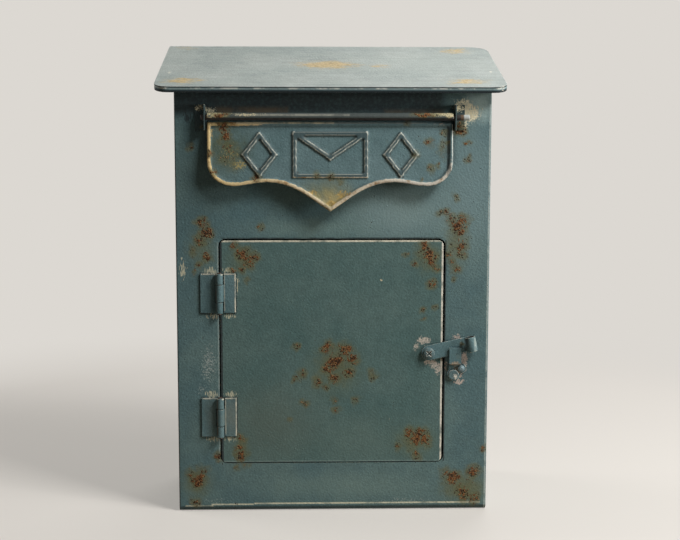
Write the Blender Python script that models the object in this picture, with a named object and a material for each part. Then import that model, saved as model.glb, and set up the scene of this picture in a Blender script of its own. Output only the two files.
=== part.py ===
"""Weathered sheet-metal letter box with a sloped roof, a hinged letter flap and a latched door.

Metres, +Z up, the front faces -Y. The origin is the centre of the bounding box's bottom:
the roof's front lip is the foremost point and the back panel is the rearmost.
"""
from math import asin, atan2, cos, pi, radians, sin, tan

import bmesh
import bpy
from mathutils import Matrix, Vector

# Sheet metal and fits
SHEET = 0.0010
SEAT_GAP = 0.0003
FOLD_RADIUS = 0.0015
SHARP_FROM = radians(30)
MITRE_LIMIT = 0.5

# Cabinet
BODY_WIDTH = 0.250
BODY_DEPTH = 0.118
BODY_FRONT_HEIGHT = 0.3445
BOTTOM_BEND_RADIUS = 0.0045
FLANGE_WIDTH = 0.012

# Roof
ROOF_SLOPE = radians(16.2)
ROOF_OVERHANG_FRONT = 0.013
ROOF_OVERHANG_LEFT = 0.0148
ROOF_OVERHANG_RIGHT = 0.0112
ROOF_SHORT_OF_BACK = 0.0013
ROOF_LIP = 0.0047
ROOF_FRONT_CORNER = 0.011
ROOF_BACK_LEFT_CORNER = 0.002
ROOF_BACK_RIGHT_CORNER = 0.016

# Door and its opening
DOOR_WIDTH = 0.1783
DOOR_HEIGHT = 0.1811
DOOR_SHIFT_X = -0.0011
DOOR_BOTTOM = 0.0403
DOOR_FOLD = 0.0065
DOOR_CORNER = 0.004
DOOR_GAP_HINGE_SIDE = 0.0011
DOOR_GAP_LATCH_SIDE = 0.0016
DOOR_GAP_TOP = 0.0014
DOOR_GAP_BOTTOM = 0.0006
OPENING_RETURN = 0.007

# Letter slot behind the flap
SLOT_WIDTH = 0.170
SLOT_HEIGHT = 0.026
SLOT_CORNER = 0.003
SLOT_RETURN = 0.004
SLOT_BELOW_ROD = 0.013

# Letter flap, its roll and its rod
ROD_DROP = 0.026
ROD_STAND_OFF = 0.0068
ROD_RADIUS = 0.00225
ROD_END_LEFT = 0.0025
ROD_END_RIGHT = 0.0105
ROLL_CLEARANCE = 0.0004
ROLL_END_ANGLE = radians(198)
FLAP_WIDTH = 0.1928
FLAP_SHIFT_X = -0.0026
FLAP_SIDE_DROP = 0.0355
FLAP_EDGE_DROP = 0.0537
FLAP_CREST_DROP = 0.0505
FLAP_TIP_DROP = 0.0735
FLAP_CREST_X = 0.050
FLAP_EDGE_X = 0.076
FLAP_TIP_SCOOP = 0.5
FLAP_TIP_HANDLE = 0.34
FLAP_CREST_HANDLE = 0.60
FLAP_TOP_DROP = 0.0035
FLAP_TURN_BACK = 0.0003
FLAP_END_PLAY = 0.0012
RIM_WIDTH = 0.0031
RIM_HEIGHT = 0.0014
RIM_ROUNDING = 0.0006

# Embossed envelope and lozenges on the flap
EMBOSS_DROP = 0.02715
EMBOSS_HEIGHT = 0.0013
EMBOSS_LINE = 0.0032
ENVELOPE_WIDTH = 0.056
ENVELOPE_HEIGHT = 0.033
ENVELOPE_FOLD = 0.019
LOZENGE_WIDTH = 0.024
LOZENGE_HEIGHT = 0.031
LOZENGE_OFFSET = 0.0555

# Brackets that hold the rod
BRACKET_HEIGHT = 0.020
BRACKET_LEAF = 0.0075
EAR_PAST_ROD = 0.0036

# Hinges
HINGE_HEIGHT = 0.0318
HINGE_LEAF_FRAME = 0.0152
HINGE_LEAF_DOOR = 0.0130
HINGE_BARREL_RADIUS = 0.00295
HINGE_PIN_RADIUS = 0.0013
HINGE_PIN_HEAD = 0.0005
HINGE_PIN_CLEARANCE = 0.0003
HINGE_KNUCKLE_GAP = 0.0005
HINGE_END_KNUCKLE = 0.0088
UPPER_HINGE_BOTTOM = 0.1633
LOWER_HINGE_BOTTOM = 0.0624

# Latch bar and its screw
LATCH_X = 0.0768
LATCH_Z = 0.1305
LATCH_REST_ANGLE = radians(13)
LATCH_WIDTH = 0.0119
LATCH_THICKNESS = 0.0012
LATCH_CURL_START = 0.0347
LATCH_CURL_RADIUS = 0.0043
LATCH_CURL_END = radians(290)
WASHER_RADIUS = 0.0048
WASHER_THICKNESS = 0.0008
SCREW_RADIUS = 0.0020
SCREW_CLEARANCE = 0.0003
SCREW_HEAD_RADIUS = 0.0046
SCREW_HEAD_HEIGHT = 0.0025
SCREW_CROWN_SHARE = 0.50
SCREW_SHOULDER_SHARE = 0.82
SCREW_SIDE_SHARE = 0.45
SCREW_PAST_NUT = 0.0012
RECESS_LENGTH = 0.0052
RECESS_WIDTH = 0.0011
RECESS_DEPTH = 0.0014
NUT_ACROSS_FLATS = 0.007
NUT_THICKNESS = 0.0028

# Keeper and its rivets
KEEPER_X = 0.0980
KEEPER_WIDTH = 0.0098
KEEPER_THICKNESS = 0.0010
KEEPER_FLOOR_Z = 0.1222
KEEPER_TOP_Z = 0.1350
KEEPER_BAR_CLEARANCE = 0.0009
PAINTED_RIVET_X = 0.0970
PAINTED_RIVET_Z = 0.1125
PAINTED_RIVET_RADIUS = 0.00425
PAINTED_RIVET_HEIGHT = 0.0014
BARE_RIVET_X = 0.1032
BARE_RIVET_Z = 0.1177
BARE_RIVET_RADIUS = 0.0029
BARE_RIVET_HEIGHT = 0.0022
RIVET_SHANK = 0.0015
RIVET_CLEARANCE = 0.0003
RIVET_EDGE = 0.0012
RIVET_TAIL_RADIUS = 0.0025
RIVET_TAIL = 0.0008

# Rivet heads as shares of their radius and height: crown, shoulder, straight side
FLAT_HEAD = (0.85, 0.97, 0.7)
DOMED_HEAD = (0.35, 0.80, 0.35)

# Back panel's hanging keyholes
KEYHOLE_SPACING = 0.140
KEYHOLE_DROP = 0.036
KEYHOLE_HEAD_RADIUS = 0.0045
KEYHOLE_SLOT_RADIUS = 0.0022
KEYHOLE_SLOT_RISE = 0.009

# Places worked out from the sizes above
ROOF_WIDTH = BODY_WIDTH + ROOF_OVERHANG_LEFT + ROOF_OVERHANG_RIGHT
BODY_X = (ROOF_OVERHANG_LEFT - ROOF_OVERHANG_RIGHT) / 2
TOTAL_DEPTH = ROOF_OVERHANG_FRONT + BODY_DEPTH
FACE_Y = ROOF_OVERHANG_FRONT - TOTAL_DEPTH / 2
BACK_Y = FACE_Y + BODY_DEPTH
SHELL_BACK_Y = BACK_Y - SHEET - SEAT_GAP
ROOF_STACK = (SHEET + SEAT_GAP) / cos(ROOF_SLOPE)
ROOF_FRONT_Y = FACE_Y - ROOF_OVERHANG_FRONT
ROOF_FRONT_Z = BODY_FRONT_HEIGHT + ROOF_STACK - ROOF_OVERHANG_FRONT * tan(ROOF_SLOPE)

DOOR_X = BODY_X + DOOR_SHIFT_X
DOOR_LEFT = DOOR_X - DOOR_WIDTH / 2
DOOR_RIGHT = DOOR_X + DOOR_WIDTH / 2
DOOR_TOP = DOOR_BOTTOM + DOOR_HEIGHT
HINGE_X = DOOR_LEFT - DOOR_GAP_HINGE_SIDE / 2
HINGE_Y = FACE_Y - SEAT_GAP - HINGE_BARREL_RADIUS

ROD_Y = FACE_Y - ROD_STAND_OFF
ROD_Z = BODY_FRONT_HEIGHT - ROD_DROP
ROLL_INNER = ROD_RADIUS + ROLL_CLEARANCE
ROLL_OUTER = ROLL_INNER + SHEET
FLAP_X = BODY_X + FLAP_SHIFT_X
EAR_LEFT_X = FLAP_X - FLAP_WIDTH / 2 - FLAP_END_PLAY
EAR_RIGHT_X = FLAP_X + FLAP_WIDTH / 2 + FLAP_END_PLAY

SCREW_X = BODY_X + LATCH_X
BAR_BACK = SEAT_GAP + WASHER_THICKNESS + SEAT_GAP
BAR_FRONT = BAR_BACK + LATCH_THICKNESS
KEEPER_FLOOR_REACH = BAR_FRONT + KEEPER_BAR_CLEARANCE + KEEPER_THICKNESS


def arc(centre, radius, start, end, steps):
    """Points on an arc in a plane, ends included."""
    points = []
    for step in range(steps + 1):
        angle = start + (end - start) * step / steps
        points.append((centre[0] + radius * cos(angle), centre[1] + radius * sin(angle)))
    return points


def rounded_box(left, bottom, right, top, radii, steps=5):
    """Outline of a rectangle; radii run bottom left, bottom right, top right, top left."""
    corners = [(left, bottom, 1, 1), (right, bottom, -1, 1), (right, top, -1, -1), (left, top, 1, -1)]
    points = []
    for index, (x, z, to_x, to_z) in enumerate(corners):
        radius = radii[index]
        start = pi + index * pi / 2
        centre = (x + to_x * radius, z + to_z * radius)
        points += arc(centre, radius, start, start + pi / 2, steps)
    return points


def inset(outline, distance):
    """The outline moved inwards; it runs anticlockwise."""
    shifted = []
    count = len(outline)
    for index, point in enumerate(outline):
        before = Vector(point) - Vector(outline[index - 1])
        after = Vector(outline[(index + 1) % count]) - Vector(point)
        normal_before = Vector((-before.y, before.x)).normalized()
        normal_after = Vector((-after.y, after.x)).normalized()
        middle = (normal_before + normal_after).normalized()
        reach = distance / max(middle.dot(normal_before), MITRE_LIMIT)
        shifted.append((point[0] + middle.x * reach, point[1] + middle.y * reach))
    return shifted


def bezier(start, handle_a, handle_b, end, steps):
    """Points along a cubic curve, the first left out."""
    points = []
    for step in range(1, steps + 1):
        t = step / steps
        weights = ((1 - t) ** 3, 3 * t * (1 - t) ** 2, 3 * t * t * (1 - t), t ** 3)
        x = sum(w * p[0] for w, p in zip(weights, (start, handle_a, handle_b, end)))
        z = sum(w * p[1] for w, p in zip(weights, (start, handle_a, handle_b, end)))
        points.append((x, z))
    return points


PLANES = {
    "front": lambda a, b, depth: (a, depth, b),
    "side": lambda a, b, depth: (depth, a, b),
    "plan": lambda a, b, depth: (a, b, depth),
}


def prism(outline, plane, low, high):
    """A closed solid: the outline drawn on a plane and pushed from low to high."""
    bm = bmesh.new()
    place = PLANES[plane]
    lower = [bm.verts.new(place(a, b, low)) for a, b in outline]
    upper = [bm.verts.new(place(a, b, high)) for a, b in outline]
    bm.faces.new(lower)
    bm.faces.new(upper)
    count = len(outline)
    for index in range(count):
        following = (index + 1) % count
        bm.faces.new((lower[index], lower[following], upper[following], upper[index]))
    bmesh.ops.recalc_face_normals(bm, faces=bm.faces)
    return bm


def block(low, high):
    """A box between two corners."""
    outline = [(low[0], low[1]), (high[0], low[1]), (high[0], high[1]), (low[0], high[1])]
    return prism(outline, "plan", low[2], high[2])


def turned(profile, segments=24):
    """A solid turned about Y; the profile lists (radius, depth) pairs from axis to axis."""
    bm = bmesh.new()
    previous = None
    for radius, depth in profile:
        if radius == 0:
            ring = [bm.verts.new((0, depth, 0))] * segments
        else:
            ring = []
            for x, z in arc((0, 0), radius, 0, 2 * pi, segments)[:-1]:
                ring.append(bm.verts.new((x, depth, z)))
        if previous:
            for index in range(segments):
                following = (index + 1) % segments
                corners = [previous[index], previous[following], ring[following], ring[index]]
                bm.faces.new(list(dict.fromkeys(corners)))
        previous = ring
    bmesh.ops.recalc_face_normals(bm, faces=bm.faces)
    return bm


def solid(name, bm, material, location=(0, 0, 0)):
    """A scene object from a bmesh, with its origin at the location."""
    mesh = bpy.data.meshes.new(name)
    bm.to_mesh(mesh)
    bm.free()
    mesh.materials.append(material)
    mesh.shade_smooth()
    mesh.set_sharp_from_angle(angle=SHARP_FROM)
    shape = bpy.data.objects.new(name, mesh)
    shape.location = location
    bpy.context.collection.objects.link(shape)
    return shape


def combine(target, bm, operation):
    """Cut a shape from the target, or join it on, in the target's own coordinates."""
    mesh = bpy.data.meshes.new(target.name + "_tool")
    bm.to_mesh(mesh)
    bm.free()
    tool = bpy.data.objects.new(mesh.name, mesh)
    tool.parent = target
    tool.hide_render = True
    tool.display_type = "WIRE"
    bpy.context.collection.objects.link(tool)
    modifier = target.modifiers.new(operation.lower(), "BOOLEAN")
    modifier.operation = operation
    modifier.object = tool
    modifier.solver = "EXACT"


def cut(target, bm):
    combine(target, bm, "DIFFERENCE")


def join(target, bm):
    combine(target, bm, "UNION")


def paint(name, colour, roughness, metallic):
    """A plain Principled material."""
    material = bpy.data.materials.new(name)
    material.use_nodes = True
    shader = material.node_tree.nodes["Principled BSDF"]
    shader.inputs["Base Color"].default_value = (*colour, 1)
    shader.inputs["Roughness"].default_value = roughness
    shader.inputs["Metallic"].default_value = metallic
    material.diffuse_color = (*colour, 1)
    return material


def cabinet_profile(shrink):
    """Side outline of the cabinet as (y, z), each wall moved in by shrink."""
    radius = BOTTOM_BEND_RADIUS - shrink
    front = FACE_Y + shrink
    drop = shrink / cos(ROOF_SLOPE)
    front_top = BODY_FRONT_HEIGHT + shrink * tan(ROOF_SLOPE) - drop
    back = SHELL_BACK_Y - shrink
    back_top = BODY_FRONT_HEIGHT + (back - FACE_Y) * tan(ROOF_SLOPE) - drop
    bend = arc((front + radius, shrink + radius), radius, pi, 1.5 * pi, 4)
    return bend + [(back, shrink), (back, back_top), (front, front_top)]


def top_of_cabinet(y):
    """Height of the cabinet's sloped top edge at y."""
    return BODY_FRONT_HEIGHT + (y - FACE_Y) * tan(ROOF_SLOPE)


def folded_opening(shell, outline, depth):
    """An opening in the front with its edge folded inwards."""
    join(shell, prism(inset(outline, -SHEET), "front", FACE_Y + SHEET / 2, FACE_Y + depth))
    cut(shell, prism(outline, "front", FACE_Y - SHEET, FACE_Y + depth + SHEET))


def upright_front_edges(bm):
    """Edges that run straight up between the front and a side."""
    near = SHEET / 100
    edges = []
    for edge in bm.edges:
        first, second = (vert.co for vert in edge.verts)
        in_front = max(first.y, second.y) < FACE_Y + near
        if in_front and abs(first.x - second.x) < near:
            edges.append(edge)
    return edges


def make_body_shell(material):
    """Front and sides folded from one sheet, with flanges round the base, back and top."""
    left = BODY_X - BODY_WIDTH / 2
    right = BODY_X + BODY_WIDTH / 2
    outer = prism(cabinet_profile(0), "side", left, right)
    corners = upright_front_edges(outer)
    bmesh.ops.bevel(outer, geom=corners, offset=FOLD_RADIUS, segments=2, profile=0.5, affect="EDGES")
    shell = solid("body_shell", outer, material)
    cut(shell, prism(cabinet_profile(SHEET), "side", left + SHEET, right - SHEET))

    hole_left = left + FLANGE_WIDTH
    hole_right = right - FLANGE_WIDTH
    hole_front = FACE_Y + FLANGE_WIDTH
    hole_back = SHELL_BACK_Y - FLANGE_WIDTH
    high = top_of_cabinet(BACK_Y) + FLANGE_WIDTH
    cut(shell, block((hole_left, hole_front, -SHEET), (hole_right, hole_back, 2 * SHEET)))
    back_top = top_of_cabinet(SHELL_BACK_Y) - FLANGE_WIDTH
    cut(shell, block((hole_left, SHELL_BACK_Y - 2 * SHEET, FLANGE_WIDTH), (hole_right, BACK_Y, back_top)))
    top_hole = [
        (hole_front, top_of_cabinet(hole_front) - 3 * SHEET),
        (hole_back, top_of_cabinet(hole_back) - 3 * SHEET),
        (hole_back, high),
        (hole_front, high),
    ]
    cut(shell, prism(top_hole, "side", hole_left, hole_right))

    folded_opening(shell, door_opening(), OPENING_RETURN)
    folded_opening(shell, letter_slot(), SLOT_RETURN)
    for x, z in rivet_places():
        cut(shell, moved(turned(plug(RIVET_SHANK + RIVET_CLEARANCE, 2 * SHEET)), (x, FACE_Y, z)))
    return shell


def plug(radius, reach):
    """Profile of a plain cylinder for a hole, reaching both ways along Y."""
    return [(0, -reach), (radius, -reach), (radius, reach), (0, reach)]


def moved(bm, offset):
    bmesh.ops.translate(bm, verts=bm.verts, vec=offset)
    return bm


def door_opening():
    corner = DOOR_CORNER + DOOR_GAP_LATCH_SIDE
    return rounded_box(
        DOOR_LEFT - DOOR_GAP_HINGE_SIDE,
        DOOR_BOTTOM - DOOR_GAP_BOTTOM,
        DOOR_RIGHT + DOOR_GAP_LATCH_SIDE,
        DOOR_TOP + DOOR_GAP_TOP,
        [corner] * 4,
    )


def letter_slot():
    top = ROD_Z - SLOT_BELOW_ROD
    left = FLAP_X - SLOT_WIDTH / 2
    return rounded_box(left, top - SLOT_HEIGHT, left + SLOT_WIDTH, top, [SLOT_CORNER] * 4)


def rivet_places():
    return (
        (BODY_X + PAINTED_RIVET_X, PAINTED_RIVET_Z),
        (BODY_X + BARE_RIVET_X, BARE_RIVET_Z),
    )


def make_bottom_panel(material):
    """Flat floor lying on the flanges."""
    rest = SHEET + SEAT_GAP
    left = BODY_X - BODY_WIDTH / 2 + rest
    front = FACE_Y + max(rest, BOTTOM_BEND_RADIUS)
    low = (left, front, rest)
    high = (left + BODY_WIDTH - 2 * rest, SHELL_BACK_Y - rest, rest + SHEET)
    return solid("bottom_panel", block(low, high), material)


def make_back_panel(material):
    """Flat back lying on the rear flanges, with two keyholes to hang the box by."""
    left = BODY_X - BODY_WIDTH / 2
    front = BACK_Y - SHEET
    outline = [
        (front, 0),
        (BACK_Y, 0),
        (BACK_Y, top_of_cabinet(BACK_Y)),
        (front, top_of_cabinet(front)),
    ]
    panel = solid("back_panel", prism(outline, "side", left, left + BODY_WIDTH), material)
    slot_z = top_of_cabinet(BACK_Y) - KEYHOLE_DROP
    for side in (-1, 1):
        x = BODY_X + side * KEYHOLE_SPACING / 2
        head = arc((x, slot_z), KEYHOLE_HEAD_RADIUS, 0.75 * pi, 2.25 * pi, 14)
        tip = arc((x, slot_z + KEYHOLE_SLOT_RISE), KEYHOLE_SLOT_RADIUS, 0, pi, 8)
        cut(panel, prism(head + tip, "front", front - SHEET, BACK_Y + SHEET))
    return panel


def make_roof(material):
    """Flat sheet sloping to the front, with a narrow lip folded down in front and at the sides."""
    length = (BACK_Y - ROOF_SHORT_OF_BACK - ROOF_FRONT_Y) / cos(ROOF_SLOPE)
    half = ROOF_WIDTH / 2
    radii = [ROOF_FRONT_CORNER, ROOF_FRONT_CORNER, ROOF_BACK_RIGHT_CORNER, ROOF_BACK_LEFT_CORNER]
    roof = solid("roof", prism(rounded_box(-half, 0, half, length, radii), "plan", -ROOF_LIP, 0), material)
    inner = half - SHEET
    corner = ROOF_FRONT_CORNER - SHEET
    pocket = rounded_box(-inner, SHEET, inner, length + ROOF_LIP, [corner, corner, SHEET, SHEET])
    cut(roof, prism(pocket, "plan", -2 * ROOF_LIP, -SHEET))
    roof.location = (0, ROOF_FRONT_Y, ROOF_FRONT_Z)
    roof.rotation_euler = (ROOF_SLOPE, 0, 0)
    return roof


def flap_half_edge():
    """Lower edge of the flap from its tip to one side, as (x, z) below the rod."""
    tip = (0, -FLAP_TIP_DROP)
    crest = (FLAP_CREST_X, -FLAP_CREST_DROP)
    edge = (FLAP_EDGE_X, -FLAP_EDGE_DROP)
    side = (FLAP_WIDTH / 2, -FLAP_SIDE_DROP)
    scoop = FLAP_TIP_SCOOP * (FLAP_TIP_DROP - FLAP_CREST_DROP)
    by_tip = (FLAP_TIP_HANDLE * crest[0], tip[1] + scoop)
    by_crest = (FLAP_CREST_HANDLE * crest[0], crest[1])
    points = [tip]
    points += bezier(tip, by_tip, by_crest, crest, 8)
    third = (edge[0] - crest[0]) / 3
    points += bezier(crest, (crest[0] + third, crest[1]), (edge[0] - third, edge[1]), edge, 4)
    points += bezier(edge, (side[0] - third, edge[1]), (side[0], edge[1] + third), side, 5)
    return points


def flap_outline():
    """Whole flap outline, anticlockwise seen from the front."""
    right = flap_half_edge()
    left = [(-x, z) for x, z in reversed(right[1:])]
    half = FLAP_WIDTH / 2
    return left + right + [(half, -FLAP_TOP_DROP), (-half, -FLAP_TOP_DROP)]


def flap_pan():
    """Pressed sheet: a raised rim round a recessed panel, with its outer edge turned back."""
    panel = ROLL_INNER
    crown = panel - RIM_HEIGHT
    slope = RIM_WIDTH + RIM_ROUNDING
    outline = flap_outline()
    front = [
        (0, panel + SHEET + FLAP_TURN_BACK),
        (0, crown + RIM_ROUNDING),
        (RIM_ROUNDING, crown),
        (RIM_WIDTH - RIM_ROUNDING, crown),
        (slope, panel),
    ]
    back = [
        (slope - SHEET / 2, panel + SHEET),
        (RIM_WIDTH - RIM_ROUNDING - SHEET / 2, crown + SHEET),
        (SHEET, crown + SHEET),
        (SHEET, panel + SHEET + FLAP_TURN_BACK),
    ]
    bm = bmesh.new()
    rings = []
    for distance, depth in front + back:
        rings.append([bm.verts.new((x, depth, z)) for x, z in inset(outline, distance)])
    first_back = len(front)
    pairs = [(ring, ring + 1) for ring in range(first_back - 1)]
    pairs += [(ring, ring + 1) for ring in range(first_back, len(rings) - 1)]
    pairs.append((len(rings) - 1, 0))
    count = len(outline)
    for a, b in pairs:
        for index in range(count):
            following = (index + 1) % count
            bm.faces.new((rings[a][index], rings[a][following], rings[b][following], rings[b][index]))
    bm.faces.new(rings[first_back - 1])
    bm.faces.new(rings[first_back])
    bmesh.ops.recalc_face_normals(bm, faces=bm.faces)
    return bm


def flap_roll():
    """Top of the flap hooked forward over the rod, its free edge in front, and joined down to the pan."""
    outer = arc((0, 0), ROLL_OUTER, 0, ROLL_END_ANGLE, 16)
    inner = arc((0, 0), ROLL_INNER, ROLL_END_ANGLE, 0, 16)
    bottom = -FLAP_TOP_DROP - RIM_WIDTH / 3
    section = outer + inner + [(ROLL_INNER, bottom), (ROLL_OUTER, bottom)]
    half = FLAP_WIDTH / 2
    return prism(section, "side", -half, half)


def bar(start, end, width, low, high):
    """A straight ridge between two points on the front plane."""
    along = (Vector(end) - Vector(start)).normalized()
    across = Vector((-along.y, along.x)) * width / 2
    ends = (Vector(start) - along * width / 2, Vector(end) + along * width / 2)
    outline = [ends[0] - across, ends[1] - across, ends[1] + across, ends[0] + across]
    return prism([tuple(p) for p in outline], "front", low, high)


def flap_relief():
    """Generic raised design: an envelope between two lozenges, as closed ridges."""
    low = ROLL_INNER - EMBOSS_HEIGHT
    high = ROLL_INNER + SHEET / 2
    middle = -EMBOSS_DROP - FLAP_TOP_DROP / 2
    half = ENVELOPE_WIDTH / 2
    top = middle + ENVELOPE_HEIGHT / 2
    bottom = middle - ENVELOPE_HEIGHT / 2
    corners = [(-half, bottom), (half, bottom), (half, top), (-half, top)]
    strokes = [(corners[i], corners[(i + 1) % 4]) for i in range(4)]
    fold = (0, top - ENVELOPE_FOLD)
    strokes += [((-half, top), fold), (fold, (half, top))]
    for side in (-1, 1):
        x = side * LOZENGE_OFFSET
        wide = LOZENGE_WIDTH / 2
        tall = LOZENGE_HEIGHT / 2
        points = [(x - wide, middle), (x, middle - tall), (x + wide, middle), (x, middle + tall)]
        strokes += [(points[i], points[(i + 1) % 4]) for i in range(4)]
    return [bar(start, end, EMBOSS_LINE, low, high) for start, end in strokes]


def first_moment(bm):
    """First moment of a closed mesh's volume, from tetrahedra to the origin."""
    copy = bm.copy()
    bmesh.ops.triangulate(copy, faces=copy.faces)
    moment = Vector()
    for face in copy.faces:
        a, b, c = (vert.co for vert in face.verts)
        volume = a.dot(b.cross(c)) / 6
        moment += volume * (a + b + c) / 4
    copy.free()
    return moment


def hanging_angle(pieces):
    """Turn about X that brings the pieces' centre of mass straight under the axis."""
    total = Vector()
    for piece in pieces:
        total += first_moment(piece)
    return atan2(-total.y, -total.z)


def make_flap(material):
    """The letter flap, hanging freely from its rod."""
    pieces = [flap_pan(), flap_roll()] + flap_relief()
    angle = hanging_angle(pieces)
    flap = solid("flap", pieces[0], material, (FLAP_X, ROD_Y, ROD_Z))
    for piece in pieces[1:]:
        join(flap, piece)
    flap.rotation_euler = (angle, 0, 0)
    return flap


def make_flap_rod(material):
    left = EAR_LEFT_X - SHEET - ROD_END_LEFT
    right = EAR_RIGHT_X + SHEET + ROD_END_RIGHT
    chamfer = ROD_RADIUS / 5
    profile = [
        (0, left),
        (ROD_RADIUS - chamfer, left),
        (ROD_RADIUS, left + chamfer),
        (ROD_RADIUS, right - chamfer),
        (ROD_RADIUS - chamfer, right),
        (0, right),
    ]
    rod = turned(profile, 20)
    bmesh.ops.rotate(rod, verts=rod.verts, matrix=Matrix.Rotation(-pi / 2, 3, "Z"))
    return solid("flap_rod", rod, material, (0, ROD_Y, ROD_Z))


def make_bracket(name, inner_x, outward, material):
    """A leaf on the cabinet's face and an ear standing out from it, folded from one strip."""
    back = -SEAT_GAP
    front = back - SHEET
    reach = -ROD_STAND_OFF - EAR_PAST_ROD
    outer = outward * (SHEET + BRACKET_LEAF)
    ear = outward * SHEET
    section = [(0, back), (outer, back), (outer, front), (ear, front), (ear, reach), (0, reach)]
    half = BRACKET_HEIGHT / 2
    bracket = solid(name, prism(section, "plan", -half, half), material, (inner_x, FACE_Y, ROD_Z))
    hole = turned(plug(ROD_RADIUS + ROLL_CLEARANCE, 2 * SHEET), 20)
    bmesh.ops.rotate(hole, verts=hole.verts, matrix=Matrix.Rotation(-pi / 2, 3, "Z"))
    cut(bracket, moved(hole, (ear / 2, -ROD_STAND_OFF, 0)))
    return bracket


def make_door(material):
    """Door pan: a flat plate with its four edges folded back, hung on the hinge axis."""
    left = DOOR_LEFT - HINGE_X
    bottom = DOOR_BOTTOM
    outline = rounded_box(left, bottom, left + DOOR_WIDTH, bottom + DOOR_HEIGHT, [DOOR_CORNER] * 4)
    face = FACE_Y - HINGE_Y
    door = solid("door", prism(outline, "front", face, face + DOOR_FOLD), material, (HINGE_X, HINGE_Y, 0))
    cut(door, prism(inset(outline, SHEET), "front", face + SHEET, face + 2 * DOOR_FOLD))
    hole = turned(plug(SCREW_RADIUS + SCREW_CLEARANCE, 2 * SHEET))
    cut(door, moved(hole, (SCREW_X - HINGE_X, face, LATCH_Z)))
    return door


def hinge_leaf(name, reach, notches, material):
    """One leaf with its knuckles; reach is signed along X and the origin is on the pin's axis."""
    side = 1 if reach > 0 else -1
    back = HINGE_BARREL_RADIUS
    front = back - SHEET
    meet = side * asin(front / HINGE_BARREL_RADIUS)
    end_angle = pi / 2 + side * 1.5 * pi + meet
    barrel = arc((0, 0), HINGE_BARREL_RADIUS, pi / 2, end_angle, 24)
    section = barrel + [(reach, front), (reach, back)]
    leaf = solid(name, prism(section, "plan", 0, HINGE_HEIGHT), material)
    clear = HINGE_BARREL_RADIUS + HINGE_KNUCKLE_GAP
    for low, high in notches:
        cut(leaf, block((-clear, -clear, low), (clear, clear, high)))
    bore = arc((0, 0), HINGE_PIN_RADIUS + HINGE_PIN_CLEARANCE, 0, 2 * pi, 16)[:-1]
    cut(leaf, prism(bore, "plan", -HINGE_HEIGHT, 2 * HINGE_HEIGHT))
    return leaf


def make_hinge(prefix, bottom, material, pin_material):
    """A butt hinge: the frame leaf has the end knuckles and the door leaf the middle one."""
    first = HINGE_END_KNUCKLE
    second = HINGE_HEIGHT - HINGE_END_KNUCKLE
    gap = HINGE_KNUCKLE_GAP / 2
    middle = [(first - gap, second + gap)]
    ends = [(-first, first + gap), (second - gap, HINGE_HEIGHT + first)]
    place = (HINGE_X, HINGE_Y, bottom)
    hinge_leaf(prefix + "_hinge_frame_leaf", -HINGE_LEAF_FRAME, middle, material).location = place
    hinge_leaf(prefix + "_hinge_door_leaf", HINGE_LEAF_DOOR, ends, material).location = place
    head = HINGE_PIN_RADIUS + 2 * HINGE_PIN_CLEARANCE
    low = -SEAT_GAP
    high = HINGE_HEIGHT + SEAT_GAP
    profile = [
        (0, low - HINGE_PIN_HEAD),
        (head, low - HINGE_PIN_HEAD),
        (head, low),
        (HINGE_PIN_RADIUS, low),
        (HINGE_PIN_RADIUS, high),
        (head, high),
        (head, high + HINGE_PIN_HEAD),
        (0, high + HINGE_PIN_HEAD),
    ]
    pin = turned(profile, 16)
    bmesh.ops.rotate(pin, verts=pin.verts, matrix=Matrix.Rotation(pi / 2, 3, "X"))
    solid(prefix + "_hinge_pin", pin, pin_material, place)


def make_latch_bar(material):
    """Flat bar pivoting on the screw, its free end curled towards the front."""
    mean_y = -BAR_BACK
    front_y = -BAR_FRONT
    curl_y = mean_y - LATCH_CURL_RADIUS
    outer = arc((LATCH_CURL_START, curl_y), LATCH_CURL_RADIUS, pi / 2, pi / 2 - LATCH_CURL_END, 18)
    inner_radius = LATCH_CURL_RADIUS - LATCH_THICKNESS
    inner = arc((LATCH_CURL_START, curl_y), inner_radius, pi / 2 - LATCH_CURL_END, pi / 2, 18)
    section = [(0, front_y), (0, mean_y)] + outer + inner
    half = LATCH_WIDTH / 2
    latch = solid("latch_bar", prism(section, "plan", -half, half), material, (SCREW_X, FACE_Y, LATCH_Z))
    eye = arc((0, 0), half, pi / 2, 1.5 * pi, 12)
    overlap = half / 3
    join(latch, prism(eye + [(overlap, -half), (overlap, half)], "front", front_y, mean_y))
    hole = turned(plug(SCREW_RADIUS + SCREW_CLEARANCE, LATCH_THICKNESS))
    cut(latch, moved(hole, (0, (mean_y + front_y) / 2, 0)))
    latch.rotation_euler = (0, -LATCH_REST_ANGLE, 0)
    return latch


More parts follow.
